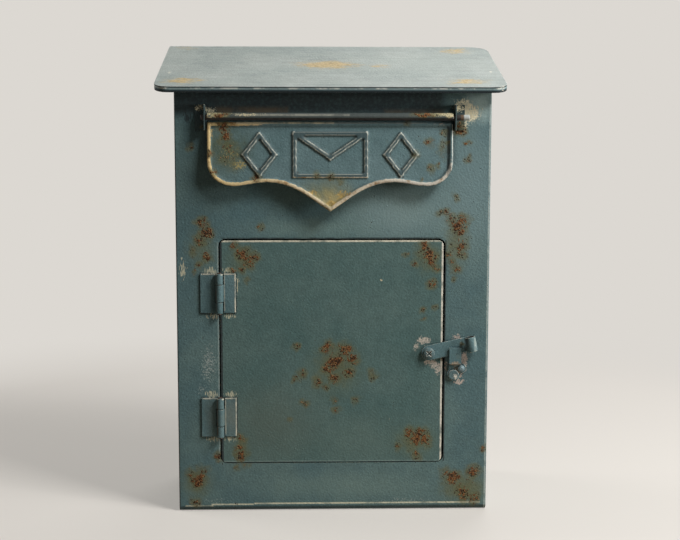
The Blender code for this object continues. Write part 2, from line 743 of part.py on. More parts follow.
def make_latch_screw(material):
    """Pan-head screw with a cross recess turned to an X, through the bar, washer and door."""
    seat = -BAR_FRONT - SEAT_GAP
    crown = seat - SCREW_HEAD_HEIGHT
    rim = seat - SCREW_SIDE_SHARE * SCREW_HEAD_HEIGHT
    tail = SHEET + SEAT_GAP + NUT_THICKNESS + SCREW_PAST_NUT
    profile = [
        (0, crown),
        (SCREW_CROWN_SHARE * SCREW_HEAD_RADIUS, crown),
        (SCREW_SHOULDER_SHARE * SCREW_HEAD_RADIUS, (2 * crown + rim) / 3),
        (SCREW_HEAD_RADIUS, rim),
        (SCREW_HEAD_RADIUS, seat),
        (SCREW_RADIUS, seat),
        (SCREW_RADIUS, tail),
        (0, tail),
    ]
    screw = solid("latch_screw", turned(profile), material, (SCREW_X, FACE_Y, LATCH_Z))
    arm = RECESS_LENGTH / 2
    thin = RECESS_WIDTH / 2
    plus = []
    for quarter in range(4):
        turn = Matrix.Rotation(quarter * pi / 2 + pi / 4, 2)
        for corner in ((arm, -thin), (arm, thin), (thin, thin)):
            plus.append(tuple(turn @ Vector(corner)))
    cut(screw, prism(plus, "front", crown - RECESS_DEPTH, crown + RECESS_DEPTH))
    return screw


def ring(outline, bore, low, high):
    """A flat piece with a round hole, as a closed solid."""
    bm = bmesh.new()
    loops = []
    for depth in (low, high):
        loops.append([bm.verts.new((x, depth, z)) for x, z in outline])
        loops.append([bm.verts.new((x, depth, z)) for x, z in bore])
    count = len(outline)
    for a, b in ((0, 1), (1, 3), (3, 2), (2, 0)):
        for index in range(count):
            following = (index + 1) % count
            bm.faces.new((loops[a][index], loops[a][following], loops[b][following], loops[b][index]))
    bmesh.ops.recalc_face_normals(bm, faces=bm.faces)
    return bm


def make_latch_washer(material):
    bore = arc((0, 0), SCREW_RADIUS + SCREW_CLEARANCE, 0, 2 * pi, 24)[:-1]
    rim = arc((0, 0), WASHER_RADIUS, 0, 2 * pi, 24)[:-1]
    washer = ring(rim, bore, -SEAT_GAP - WASHER_THICKNESS, -SEAT_GAP)
    return solid("latch_washer", washer, material, (SCREW_X, FACE_Y, LATCH_Z))


def make_latch_nut(material):
    """Hexagon nut behind the door plate."""
    inner = NUT_ACROSS_FLATS / 2
    rim = []
    for step in range(24):
        angle = 2 * pi * step / 24
        to_flat = (angle + pi / 6) % (pi / 3) - pi / 6
        rim.append((inner / cos(to_flat) * cos(angle), inner / cos(to_flat) * sin(angle)))
    bore = arc((0, 0), SCREW_RADIUS + SCREW_CLEARANCE, 0, 2 * pi, 24)[:-1]
    seat = SHEET + SEAT_GAP
    nut = ring(rim, bore, seat, seat + NUT_THICKNESS)
    return solid("latch_nut", nut, material, (SCREW_X, FACE_Y, LATCH_Z))


def make_keeper(material):
    """Strip riveted to the frame, bent out under the latch bar and up in front of it."""
    back = -SEAT_GAP
    plate = back - KEEPER_THICKNESS
    front = -KEEPER_FLOOR_REACH
    under = KEEPER_FLOOR_Z - KEEPER_THICKNESS
    section = [
        (back, PAINTED_RIVET_Z),
        (back, KEEPER_FLOOR_Z),
        (front + KEEPER_THICKNESS, KEEPER_FLOOR_Z),
        (front + KEEPER_THICKNESS, KEEPER_TOP_Z),
        (front, KEEPER_TOP_Z),
        (front, under + KEEPER_THICKNESS / 2),
        (front + KEEPER_THICKNESS / 2, under),
        (plate, under),
        (plate, PAINTED_RIVET_Z),
    ]
    half = KEEPER_WIDTH / 2
    strip = prism(section, "side", -half, half)
    keeper = solid("keeper", strip, material, (BODY_X + KEEPER_X, FACE_Y, 0))
    for (x, z), radius in zip(rivet_places(), (PAINTED_RIVET_RADIUS, BARE_RIVET_RADIUS)):
        centre = (x - BODY_X - KEEPER_X, z)
        disc = arc(centre, radius + RIVET_EDGE, 0, 2 * pi, 20)[:-1]
        join(keeper, prism(disc, "front", plate, back))
    for x, z in rivet_places():
        hole = turned(plug(RIVET_SHANK + RIVET_CLEARANCE, 2 * SHEET))
        cut(keeper, moved(hole, (x - BODY_X - KEEPER_X, (back + plate) / 2, z)))
    return keeper


def make_rivet(name, place, radius, height, head, material):
    """A rivet through the keeper and the front sheet, closed over inside."""
    seat = -SEAT_GAP - KEEPER_THICKNESS - SEAT_GAP
    tail = SHEET + SEAT_GAP
    crown_share, shoulder_share, side_share = head
    side = seat - height * side_share
    profile = [
        (0, seat - height),
        (radius * crown_share, seat - height),
        (radius * shoulder_share, (seat - height + side) / 2),
        (radius, side),
        (radius, seat),
        (RIVET_SHANK, seat),
        (RIVET_SHANK, tail),
        (RIVET_TAIL_RADIUS, tail),
        (RIVET_TAIL_RADIUS, tail + RIVET_TAIL / 2),
        (RIVET_SHANK, tail + RIVET_TAIL),
        (0, tail + RIVET_TAIL),
    ]
    return solid(name, turned(profile, 20), material, (place[0], FACE_Y, place[1]))


def main():
    for thing in list(bpy.data.objects):
        bpy.data.objects.remove(thing)

    teal = paint("teal_paint", (0.075, 0.135, 0.140), 0.55, 0.1)
    roof_paint = paint("faded_teal_paint", (0.20, 0.27, 0.26), 0.5, 0.1)
    worn = paint("worn_teal_paint", (0.16, 0.20, 0.19), 0.6, 0.2)
    steel = paint("bare_steel", (0.45, 0.45, 0.43), 0.4, 0.9)
    tarnished = paint("tarnished_steel", (0.16, 0.15, 0.13), 0.6, 0.7)

    make_body_shell(teal)
    make_bottom_panel(teal)
    make_back_panel(teal)
    make_roof(roof_paint)
    make_flap(teal)
    make_flap_rod(tarnished)
    make_bracket("flap_bracket_left", EAR_LEFT_X, -1, worn)
    make_bracket("flap_bracket_right", EAR_RIGHT_X, 1, worn)
    make_door(teal)
    make_hinge("upper", UPPER_HINGE_BOTTOM, worn, tarnished)
    make_hinge("lower", LOWER_HINGE_BOTTOM, worn, tarnished)
    make_latch_bar(worn)
    make_latch_screw(steel)
    make_latch_washer(tarnished)
    make_latch_nut(tarnished)
    make_keeper(worn)
    painted, bare = rivet_places()
    make_rivet("keeper_painted_rivet", painted, PAINTED_RIVET_RADIUS, PAINTED_RIVET_HEIGHT, FLAT_HEAD, worn)
    make_rivet("keeper_bare_rivet", bare, BARE_RIVET_RADIUS, BARE_RIVET_HEIGHT, DOMED_HEAD, steel)


main()
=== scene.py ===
from math import cos, radians, sin

import bmesh
import bpy
from mathutils import Matrix, Vector


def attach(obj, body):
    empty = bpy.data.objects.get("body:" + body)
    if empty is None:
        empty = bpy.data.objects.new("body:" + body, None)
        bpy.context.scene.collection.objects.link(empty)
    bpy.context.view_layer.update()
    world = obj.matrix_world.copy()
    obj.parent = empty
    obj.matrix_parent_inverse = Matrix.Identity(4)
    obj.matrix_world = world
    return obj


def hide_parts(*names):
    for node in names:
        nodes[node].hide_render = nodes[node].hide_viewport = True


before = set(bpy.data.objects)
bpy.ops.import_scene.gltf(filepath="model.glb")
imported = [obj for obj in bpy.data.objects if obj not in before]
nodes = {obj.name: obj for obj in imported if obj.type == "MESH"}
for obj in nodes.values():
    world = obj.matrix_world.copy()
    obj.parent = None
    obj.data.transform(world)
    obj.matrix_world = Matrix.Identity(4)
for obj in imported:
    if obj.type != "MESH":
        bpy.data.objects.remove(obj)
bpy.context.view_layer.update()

# The looks of an old enamelled tin wall mailbox with rust, rubbed edges and a hinged flap and door.
# Lengths are in metres where a mesh is made and in millimetres inside the materials.

scene = bpy.context.scene

MM = 0.001

# In millimetres: the y of the face of shell and door, of the hinge leaves, the fittings, the latch's curl
# and the flap, the roof's height, how deep a spot of colour goes into an upright sheet and a sloping one,
# the hinges' heights, and how far the roof's upper face lies over the origin, measured square to it
FACE = -52.5
LEAF_Y = -55.0
FITTINGS_Y = -57.0
CURL_Y = -58.2
FLAP_Y = -61.0
ROOF_Z = 360.0
THROUGH = 9.0
DROP = 45.0
UPPER_HINGE = 179.2
LOWER_HINGE = 78.3
ROOF_SLOPE = radians(16.2)
ROOF_LEVEL = 65.5 * sin(ROOF_SLOPE) + 342.26 * cos(ROOF_SLOPE)

# The flap's axis and how far it leans, and from the axis in metres: the panel behind it, how far rim and
# marks stand in front of the panel, where roll and marks end below it, and the marks' reach to each side
FLAP_AXIS = Vector((-0.0008, -0.0593, 0.3185))
FLAP_LEAN = radians(5.85)
FLAP_PANEL = 0.00265
FLAP_RAISE = 0.0013
ROLL_FOOT = 0.0035
MARKS_TOP = 0.0095
MARKS_FOOT = 0.0463
MARKS_HALF_WIDTH = 0.072

# Enamel: its roughness, and the height in millimetres of the grain that the brush left
ENAMEL_ROUGHNESS = 0.62
BRUSH_GRAIN = 0.34

# Meshes: points this close are one, faces this little turned are one, folds sharper than this are
# rounded, faces of a sheet's upper side point up at least so far, a lip has at least this much sheet,
# and its bead takes this share of the pale edge colour, a painted highlight
SAME_PLACE = 0.002 * MM
SAME_PLANE = radians(0.6)
SHARP_FOLD = radians(28)
UPWARD = 0.9
LEAST_LIP = 3 * MM
BEAD_HIGHLIGHT = 0.55


# Colours and nodes

def linear(code):
    """An sRGB hex colour as the linear colour that a shader takes."""
    parts = [int(code[i:i + 2], 16) / 255 for i in (1, 3, 5)]
    return tuple(c / 12.92 if c <= 0.04045 else ((c + 0.055) / 1.055) ** 2.4 for c in parts) + (1.0,)


# Settings of a colour mix, with its colours at 6 and 7, and of a map range with soft ends
BLEND = {"output": 2, "data_type": "RGBA"}
SMOOTH = {"interpolation_type": "SMOOTHSTEP"}


def add(tree, kind, inputs=None, output=0, stops=None, **settings):
    """Add a node, give it its settings, link or set its inputs and return one of its outputs. Inputs
    go by name, or by number where a name isn't unique: a map range has its value at 0, from at 1 and 2
    and to at 3 and 4, and a multiply-add has value, factor and addend at 0, 1 and 2."""
    node = tree.nodes.new(kind)
    for key, value in settings.items():
        setattr(node, key, value)
    for key, value in (inputs or {}).items():
        if isinstance(value, bpy.types.NodeSocket):
            tree.links.new(value, node.inputs[key])
        elif isinstance(value, str):
            node.inputs[key].default_value = linear(value)
        else:
            node.inputs[key].default_value = value
    if stops:
        ramp = node.color_ramp
        while len(ramp.elements) < len(stops):
            ramp.elements.new(1.0)
        for element, (place, code) in zip(ramp.elements, stops):
            element.position = place
            element.color = linear(code)
    return node.outputs[output] if node.outputs else node


def new_material(name):
    """A material and its node tree, still empty."""
    material = bpy.data.materials.new(name)
    material.use_nodes = True
    material.node_tree.nodes.clear()
    return material, material.node_tree


def group_tree(name, inputs):
    """An empty node group with its inputs and the output Amount, and the sockets of its two end nodes."""
    tree = bpy.data.node_groups.new(name, "ShaderNodeTree")
    for socket, kind in inputs:
        tree.interface.new_socket(socket, in_out="INPUT", socket_type=kind)
    tree.interface.new_socket("Amount", in_out="OUTPUT", socket_type="NodeSocketFloat")
    return tree, tree.nodes.new("NodeGroupInput").outputs, tree.nodes.new("NodeGroupOutput").inputs


# A soft round or oval spot, 1 at its centre and 0 at its reach.
SPOT, given, out = group_tree(
    "soft spot",
    [("Where", "NodeSocketVector"), ("Centre", "NodeSocketVector"),
     ("Reach", "NodeSocketVector"), ("Strength", "NodeSocketFloat")])
step = add(SPOT, "ShaderNodeVectorMath", {0: given["Where"], 1: given["Centre"]}, operation="SUBTRACT")
step = add(SPOT, "ShaderNodeVectorMath", {0: step, 1: given["Reach"]}, operation="DIVIDE")
step = add(SPOT, "ShaderNodeVectorMath", {0: step}, output="Value", operation="LENGTH")
step = add(SPOT, "ShaderNodeMapRange", {0: step, 1: 1.0, 2: 0.0, 3: 0.0, 4: given["Strength"]}, **SMOOTH)
SPOT.links.new(step, out[0])

# A straight-edged strip, 1 inside its half sizes and 0 past its soft margin.
STRIP, given, out = group_tree(
    "straight strip",
    [("Where", "NodeSocketVector"), ("Centre", "NodeSocketVector"),
     ("Half", "NodeSocketVector"), ("Soft", "NodeSocketFloat"), ("Strength", "NodeSocketFloat")])
step = add(STRIP, "ShaderNodeVectorMath", {0: given["Where"], 1: given["Centre"]}, operation="SUBTRACT")
step = add(STRIP, "ShaderNodeVectorMath", {0: step}, operation="ABSOLUTE")
step = add(STRIP, "ShaderNodeVectorMath", {0: step, 1: given["Half"]}, operation="SUBTRACT")
split = add(STRIP, "ShaderNodeSeparateXYZ", {0: step}).node.outputs
step = add(STRIP, "ShaderNodeMath", {0: split[0], 1: split[1]}, operation="MAXIMUM")
step = add(STRIP, "ShaderNodeMath", {0: step, 1: split[2]}, operation="MAXIMUM")
step = add(STRIP, "ShaderNodeMapRange",
           {0: step, 1: given["Soft"], 2: 0.0, 3: 0.0, 4: given["Strength"]}, **SMOOTH)
STRIP.links.new(step, out[0])


def spots(tree, where, places, depth, lying=False):
    """The strongest of many spots at the point, each given as two places, reach or reaches, strength.
    The places are x and z on an upright sheet, and x and y on a lying one, and a spot reaches THROUGH
    an upright sheet or over the whole DROP of a sloping one."""
    total = None
    for across, along, reach, strength in places:
        wide, high = reach if isinstance(reach, tuple) else (reach, reach)
        centre = (across, along, depth) if lying else (across, depth, along)
        reaches = (wide, high, DROP) if lying else (wide, THROUGH, high)
        spot = add(tree, "ShaderNodeGroup",
                   {"Where": where, "Centre": centre, "Reach": reaches, "Strength": strength},
                   node_tree=SPOT)
        total = spot if total is None else add(
            tree, "ShaderNodeMath", {0: total, 1: spot}, operation="MAXIMUM")
    return total


def strips(tree, where, places):
    """The strongest of many strips, each given as centre, half sizes, soft margin, strength."""
    total = None
    for centre, half, soft, strength in places:
        strip = add(tree, "ShaderNodeGroup",
                    {"Where": where, "Centre": centre, "Half": half, "Soft": soft, "Strength": strength},
                    node_tree=STRIP)
        total = strip if total is None else add(
            tree, "ShaderNodeMath", {0: total, 1: strip}, operation="MAXIMUM")
    return total


# The paint

def roof_lip(tree, mm, blotch, colour):
    """The roof's colour with its folded lip: painted shade in the crease, a teal bead with a painted
    highlight and pale painted glints under that, and black painted shade below."""
    over = add(tree, "ShaderNodeVectorMath", {0: mm, 1: (0.0, -sin(ROOF_SLOPE), cos(ROOF_SLOPE))},
               output="Value", operation="DOT_PRODUCT")
    level = add(tree, "ShaderNodeMapRange", {0: over, 1: ROOF_LEVEL - 6.0, 2: ROOF_LEVEL})
    # Painted highlight and shade across the rounded lip, from black at its foot to pale on the bead
    lip = add(tree, "ShaderNodeValToRGB", {0: level},
              stops=[(0.3, "#182023"), (0.47, "#2c3a3e"), (0.58, "#6b8184"), (0.72, "#93a5a5"),
                     (0.8, "#4a5c5f"), (0.87, "#20282a")])
    glint = add(tree, "ShaderNodeMapRange", {0: blotch, 1: 0.47, 2: 0.6}, **SMOOTH)
    bead = add(tree, "ShaderNodeMapRange", {0: level, 1: 0.58, 2: 0.68}, **SMOOTH)
    crease = add(tree, "ShaderNodeMapRange", {0: level, 1: 0.84, 2: 0.78}, **SMOOTH)
    glint = add(tree, "ShaderNodeMath", {0: glint, 1: bead}, operation="MULTIPLY")
    glint = add(tree, "ShaderNodeMath", {0: glint, 1: crease}, operation="MULTIPLY")
    lip = add(tree, "ShaderNodeMix", {0: glint, 6: lip, 7: "#c5cac3"}, **BLEND)
    over = add(tree, "ShaderNodeMapRange", {0: over, 1: ROOF_LEVEL - 0.55, 2: ROOF_LEVEL - 0.25}, **SMOOTH)
    return add(tree, "ShaderNodeMix", {0: over, 6: lip, 7: colour}, **BLEND)


def flap_tones(tree, mm, blotch, colour):
    """The flap's colour with its roll darkened, its pressed marks darker than the panel and pale on their
    crests, wear with painted highlight, and dark brown at their feet, grime with painted shade."""
    high = add(tree, "ShaderNodeSeparateXYZ", {0: mm}, output=2)
    roll = add(tree, "ShaderNodeMapRange", {0: high, 1: 315.6, 2: 316.6, 3: 0.0, 4: 0.9}, **SMOOTH)
    dark_roll = add(tree, "ShaderNodeMix", {0: blotch, 6: "#303433", 7: "#4a4e4a"}, **BLEND)
    colour = add(tree, "ShaderNodeMix", {0: roll, 6: colour, 7: dark_roll}, **BLEND)
    relief = add(tree, "ShaderNodeAttribute", output="Fac", attribute_name="relief")
    relief = add(tree, "ShaderNodeMapRange", {0: relief, 1: 0.1, 2: 0.7, 3: 0.0, 4: 0.8})
    colour = add(tree, "ShaderNodeMix", {0: relief, 6: colour, 7: "#354345"}, **BLEND)
    foot = add(tree, "ShaderNodeAttribute", output="Fac", attribute_name="worn")
    crest = add(tree, "ShaderNodeMapRange", {0: foot, 1: 0.12, 2: 0.3})
    crest = add(tree, "ShaderNodeMath", {0: crest, 1: relief}, operation="MULTIPLY")
    colour = add(tree, "ShaderNodeMix", {0: crest, 6: colour, 7: "#b4b6aa"}, **BLEND)
    # Grime and painted shade: dark brown in the hollows at the feet of the marks and the rim
    foot = add(tree, "ShaderNodeMapRange", {0: foot, 1: -0.1, 2: -0.4, 3: 0.0, 4: 0.8})
    return add(tree, "ShaderNodeMix", {0: foot, 6: colour, 7: "#29271f"}, **BLEND)


def rust_through(tree, mm, stirred, noises, nib, amount, colour, rough, height):
    """Rust that has come through the paint: a wide olive film, red-brown grains that break through in
    its middle, and black pits round them. Returns the colour, the roughness and the height with it."""
    blotch, clump, grit = noises
    halo = add(tree, "ShaderNodeMath", {0: amount, 1: 0.6}, operation="POWER")
    halo = add(tree, "ShaderNodeMath", {0: blotch, 1: 1.1, 2: halo}, operation="MULTIPLY_ADD")
    halo = add(tree, "ShaderNodeMapRange", {0: halo, 1: 0.66, 2: 1.4, 3: 0.0, 4: 0.72}, **SMOOTH)
    film = add(tree, "ShaderNodeMix", {0: grit, 6: "#48462b", 7: "#6d6a49"}, **BLEND)
    colour = add(tree, "ShaderNodeMix", {0: halo, 6: colour, 7: film}, **BLEND)
    core = add(tree, "ShaderNodeMath", {0: clump, 1: 1.7, 2: amount}, operation="MULTIPLY_ADD")
    core = add(tree, "ShaderNodeMath", {0: grit, 1: 0.9, 2: core}, operation="MULTIPLY_ADD")
    core = add(tree, "ShaderNodeMapRange", {0: core, 1: 1.84, 2: 2.12}, **SMOOTH)
    # Rust grains are 0.1 to 0.4 mm in truth, too fine to show, so they are drawn at 0.8 mm
    grain = add(tree, "ShaderNodeTexNoise", {"Vector": mm, "Scale": 1 / 0.8, "Detail": 1.0})
    rusty = add(tree, "ShaderNodeValToRGB", {0: grain},
                stops=[(0.32, "#22150d"), (0.42, "#482a17"), (0.52, "#6b3e20"), (0.62, "#7e522f"),
                       (0.74, "#93835c")])
    solid = add(tree, "ShaderNodeMath", {0: core, 1: 0.9}, operation="MULTIPLY")
    colour = add(tree, "ShaderNodeMix", {0: solid, 6: colour, 7: rusty}, **BLEND)
    cell = add(tree, "ShaderNodeTexVoronoi", {"Vector": stirred, "Scale": 1 / 2.1, "Randomness": 1.0},
               output="Distance")
    lot = add(tree, "ShaderNodeMath", {0: blotch, 1: 2.2, 2: amount}, operation="MULTIPLY_ADD")
    lot = add(tree, "ShaderNodeMapRange", {0: lot, 1: 1.1, 2: 1.95, 3: 0.0, 4: 0.44})
    pit = add(tree, "ShaderNodeMath", {0: lot, 1: cell}, operation="SUBTRACT")
    pit = add(tree, "ShaderNodeMapRange", {0: pit, 1: -0.02, 2: 0.07, 3: 0.0, 4: 0.85})
    colour = add(tree, "ShaderNodeMix", {0: pit, 6: colour, 7: "#241b12"}, **BLEND)
    rough = add(tree, "ShaderNodeMix", {0: core, 2: rough, 3: 0.92}, data_type="FLOAT")
    crust = add(tree, "ShaderNodeMath", {0: core, 1: grain}, operation="MULTIPLY")
    height = add(tree, "ShaderNodeMath", {0: crust, 1: 0.45, 2: height}, operation="MULTIPLY_ADD")
    height = add(tree, "ShaderNodeMath", {0: pit, 1: -0.3, 2: height}, operation="MULTIPLY_ADD")
    pimple = add(tree, "ShaderNodeMath", {0: nib, 1: halo}, operation="MULTIPLY")
    height = add(tree, "ShaderNodeMath", {0: pimple, 1: 2.5, 2: height}, operation="MULTIPLY_ADD")
    return colour, rough, height


def teal_enamel(name, dark, light, rust=(), dusty=(), scratches_and_shadow=(), stained=(), painted_shade=(), fading_and_light=(),
                lines=(), depth=FACE, one_side=False, lying=False, worn="edge", worn_from=0.5, worn_to=1.1,
                worn_tones=("#c3b794", "#c3b794"), under_tone="#6d5138", stain_tones=(), rim_gone=(),
                wild_rust=0.0, streaks=0.0, see_front=True, flap=False, roof=False):
    """Matt teal enamel brushed over tin sheet, with rust that has come through in grainy clusters,
    cream undercoat where it is rubbed, and a fine brushed grain. The marks lie at depth, which is the y
    of an upright sheet or the z of a lying one, and one_side keeps dust and scratches on its outer
    face. worn names the attribute that says where an edge is rubbed, which shows from worn_from on and
    is full at worn_to. wild_rust is the strength of rust scattered by noise, with see_front only behind
    the face."""
    material, tree = new_material(name)
    place = add(tree, "ShaderNodeTexCoord", output="Object")
    mm = add(tree, "ShaderNodeVectorMath", {0: place, "Scale": 1 / MM}, operation="SCALE")

    # Cloudy tone over 50 mm, blotches over 9 mm, clumps of 2.6 mm and grit. Real grit is 0.2 to 0.5 mm,
    # too fine to show, so it is drawn at 1 mm.
    cloud = add(tree, "ShaderNodeTexNoise",
                {"Vector": mm, "Scale": 1 / 50, "Detail": 3.0, "Roughness": 0.55})
    blotch = add(tree, "ShaderNodeTexNoise",
                 {"Vector": mm, "Scale": 1 / 9, "Detail": 4.0, "Roughness": 0.6})
    clump = add(tree, "ShaderNodeTexNoise",
                {"Vector": mm, "Scale": 1 / 2.6, "Detail": 3.0, "Roughness": 0.6})
    grit = add(tree, "ShaderNodeTexNoise", {"Vector": mm, "Scale": 1.0, "Detail": 2.0, "Roughness": 0.6})
    wander = add(tree, "ShaderNodeTexNoise", {"Vector": mm, "Scale": 1 / 7, "Detail": 3.0}, output="Color")
    wander = add(tree, "ShaderNodeVectorMath", {0: wander, 1: (0.5, 0.5, 0.5)}, operation="SUBTRACT")
    wander = add(tree, "ShaderNodeVectorMath", {0: wander, "Scale": 9.0}, operation="SCALE")
    bent = add(tree, "ShaderNodeVectorMath", {0: mm, 1: wander}, operation="ADD")
    wander = add(tree, "ShaderNodeVectorMath", {0: wander, "Scale": 0.35}, operation="SCALE")
    stirred = add(tree, "ShaderNodeVectorMath", {0: mm, 1: wander}, operation="ADD")

    tone = add(tree, "ShaderNodeMapRange", {0: cloud, 1: 0.34, 2: 0.66}, **SMOOTH)
    colour = add(tree, "ShaderNodeMix", {0: tone, 6: dark, 7: light}, **BLEND)
    shade = add(tree, "ShaderNodeMapRange", {0: blotch, 1: 0.3, 2: 0.7, 3: 0.92, 4: 1.08})
    fine = add(tree, "ShaderNodeMapRange", {0: grit, 1: 0.3, 2: 0.7, 3: 0.82, 4: 1.18})
    shade = add(tree, "ShaderNodeMath", {0: shade, 1: fine}, operation="MULTIPLY")
    if streaks:
        # Faint brush streaks along the width, and shorter smears that the stain follows
        long = add(tree, "ShaderNodeVectorMath", {0: mm, 1: (0.03, 0.9, 0.9)}, operation="MULTIPLY")
        brushed = add(tree, "ShaderNodeTexNoise",
                      {"Vector": long, "Scale": 0.5, "Detail": 4.0, "Roughness": 0.6})
        streak = add(tree, "ShaderNodeMapRange",
                     {0: brushed, 1: 0.35, 2: 0.65, 3: 1 - streaks, 4: 1 + streaks})
        shade = add(tree, "ShaderNodeMath", {0: shade, 1: streak}, operation="MULTIPLY")
        short = add(tree, "ShaderNodeVectorMath", {0: mm, 1: (0.22, 0.4, 0.4)}, operation="MULTIPLY")
        smear = add(tree, "ShaderNodeTexNoise",
                    {"Vector": short, "Scale": 0.5, "Detail": 4.0, "Roughness": 0.75})
    colour = add(tree, "ShaderNodeVectorMath", {0: colour, "Scale": shade}, operation="SCALE")
    for tint, places in fading_and_light:
        # Wide zones where sun or damp has changed the paint, and wide zones of painted light and shade
        amount = spots(tree, bent, places, depth, lying)
        colour = add(tree, "ShaderNodeMix", {0: amount, 6: colour, 7: tint}, **BLEND)

    # Grain of the brushed paint, nibs of 1 mm in it and more of them round the rust
    nib = add(tree, "ShaderNodeTexVoronoi",
              {"Vector": mm, "Scale": 1 / 5, "Randomness": 1.0}, output="Distance")
    nib = add(tree, "ShaderNodeMapRange", {0: nib, 1: 0.16, 2: 0.04, 3: 0.0, 4: 0.2}, **SMOOTH)
    few = add(tree, "ShaderNodeMapRange", {0: blotch, 1: 0.47, 2: 0.6})
    height = add(tree, "ShaderNodeMath", {0: nib, 1: few}, operation="MULTIPLY")
    peel = add(tree, "ShaderNodeTexNoise",
               {"Vector": mm, "Scale": 1 / 1.7, "Detail": 1.0, "Roughness": 0.5})
    height = add(tree, "ShaderNodeMath", {0: peel, 1: BRUSH_GRAIN, 2: height}, operation="MULTIPLY_ADD")

    if roof:
        colour = roof_lip(tree, mm, blotch, colour)
    if flap:
        colour = flap_tones(tree, mm, blotch, colour)
    if stained:
        # Stain that follows the clumps of the paint, or the brush streaks where it has them
        amount = spots(tree, bent, stained, depth, lying)
        pattern = smear if streaks else clump
        stain = add(tree, "ShaderNodeMath", {0: pattern, 1: 2.0, 2: amount}, operation="MULTIPLY_ADD")
        stain = add(tree, "ShaderNodeMapRange", {0: stain, 1: 1.45, 2: 2.15, 3: 0.0, 4: 0.85}, **SMOOTH)
        tone = add(tree, "ShaderNodeMapRange", {0: clump, 1: 0.35, 2: 0.65})
        olive = add(tree, "ShaderNodeMix", {0: tone, 6: stain_tones[0], 7: stain_tones[1]}, **BLEND)
        colour = add(tree, "ShaderNodeMix", {0: stain, 6: colour, 7: olive}, **BLEND)
    if painted_shade:
        # Painted shade, nearly black and broken by clumps: under the roof, behind the flap, in gaps and
        # round hinges and fittings
        shade_strip = strips(tree, mm, painted_shade)
        patchy = add(tree, "ShaderNodeMapRange", {0: clump, 1: 0.3, 2: 0.55, 3: 0.7, 4: 1.0})
        shade_strip = add(tree, "ShaderNodeMath", {0: shade_strip, 1: patchy}, operation="MULTIPLY")
        colour = add(tree, "ShaderNodeMix", {0: shade_strip, 6: colour, 7: "#23282a"}, **BLEND)

    # Cream undercoat at rubbed edges, broken by clumps, with brown metal in it. Its tone changes from the
    # left end to the right one.
    edge = add(tree, "ShaderNodeAttribute", output="Fac", attribute_name=worn)
    broken = add(tree, "ShaderNodeMath", {0: clump, 1: 1.5, 2: -0.75}, operation="MULTIPLY_ADD")
    edge = add(tree, "ShaderNodeMath", {0: edge, 1: broken}, operation="ADD")
    edge = add(tree, "ShaderNodeMapRange", {0: edge, 1: worn_from, 2: worn_to}, **SMOOTH)
    if flap:
        rim = add(tree, "ShaderNodeAttribute", output="Fac", attribute_name="rim")
        rim = add(tree, "ShaderNodeMath", {0: broken, 1: 0.8, 2: rim}, operation="MULTIPLY_ADD")
        gone = spots(tree, mm, rim_gone, depth)
        rim = add(tree, "ShaderNodeMath", {0: rim, 1: gone}, operation="SUBTRACT")
        rim = add(tree, "ShaderNodeMapRange", {0: rim, 1: 0.48, 2: 0.88, 3: 0.0, 4: 0.95}, **SMOOTH)
        edge = add(tree, "ShaderNodeMath", {0: edge, 1: rim}, operation="MAXIMUM")
    along = add(tree, "ShaderNodeSeparateXYZ", {0: mm}, output=0)
    along = add(tree, "ShaderNodeMapRange", {0: along, 1: -90.0, 2: 60.0})
    cream = add(tree, "ShaderNodeMix", {0: along, 6: worn_tones[0], 7: worn_tones[1]}, **BLEND)
    mixture = add(tree, "ShaderNodeMapRange", {0: blotch, 1: 0.48, 2: 0.66}, **SMOOTH)
    bare = add(tree, "ShaderNodeMix", {0: mixture, 6: cream, 7: under_tone}, **BLEND)
    colour = add(tree, "ShaderNodeMix", {0: edge, 6: colour, 7: bare}, **BLEND)
    for tint, places in lines:
        # Thin torn lines along edges, some scraped clean and some painted highlights and painted shade
        drawn = strips(tree, mm, places)
        torn = add(tree, "ShaderNodeMapRange", {0: blotch, 1: 0.36, 2: 0.52, 3: 0.3, 4: 1.0})
        drawn = add(tree, "ShaderNodeMath", {0: drawn, 1: torn}, operation="MULTIPLY")
        colour = add(tree, "ShaderNodeMix", {0: drawn, 6: colour, 7: tint}, **BLEND)
    if one_side:
        # 1 in front of the sheet's face and 0 inside it
        front = add(tree, "ShaderNodeSeparateXYZ", {0: mm}, output=1)
        front = add(tree, "ShaderNodeMapRange", {0: front, 1: depth + 0.75, 2: depth + 0.55})
    for tint, places in dusty:
        # Dry dust and scraped grain, thicker towards the middle of each place
        amount = spots(tree, stirred, places, depth, lying)
        dust = add(tree, "ShaderNodeMath", {0: amount, 1: 0.45, 2: grit}, operation="MULTIPLY_ADD")
        dust = add(tree, "ShaderNodeMapRange", {0: dust, 1: 0.77, 2: 0.99, 3: 0.0, 4: 0.9}, **SMOOTH)
        thin = add(tree, "ShaderNodeMapRange", {0: grit, 1: 0.38, 2: 0.56, 3: 0.45, 4: 1.0})
        dust = add(tree, "ShaderNodeMath", {0: dust, 1: thin}, operation="MULTIPLY")
        if one_side:
            dust = add(tree, "ShaderNodeMath", {0: dust, 1: front}, operation="MULTIPLY")
        colour = add(tree, "ShaderNodeMix", {0: dust, 6: colour, 7: tint}, **BLEND)
    if scratches_and_shadow:
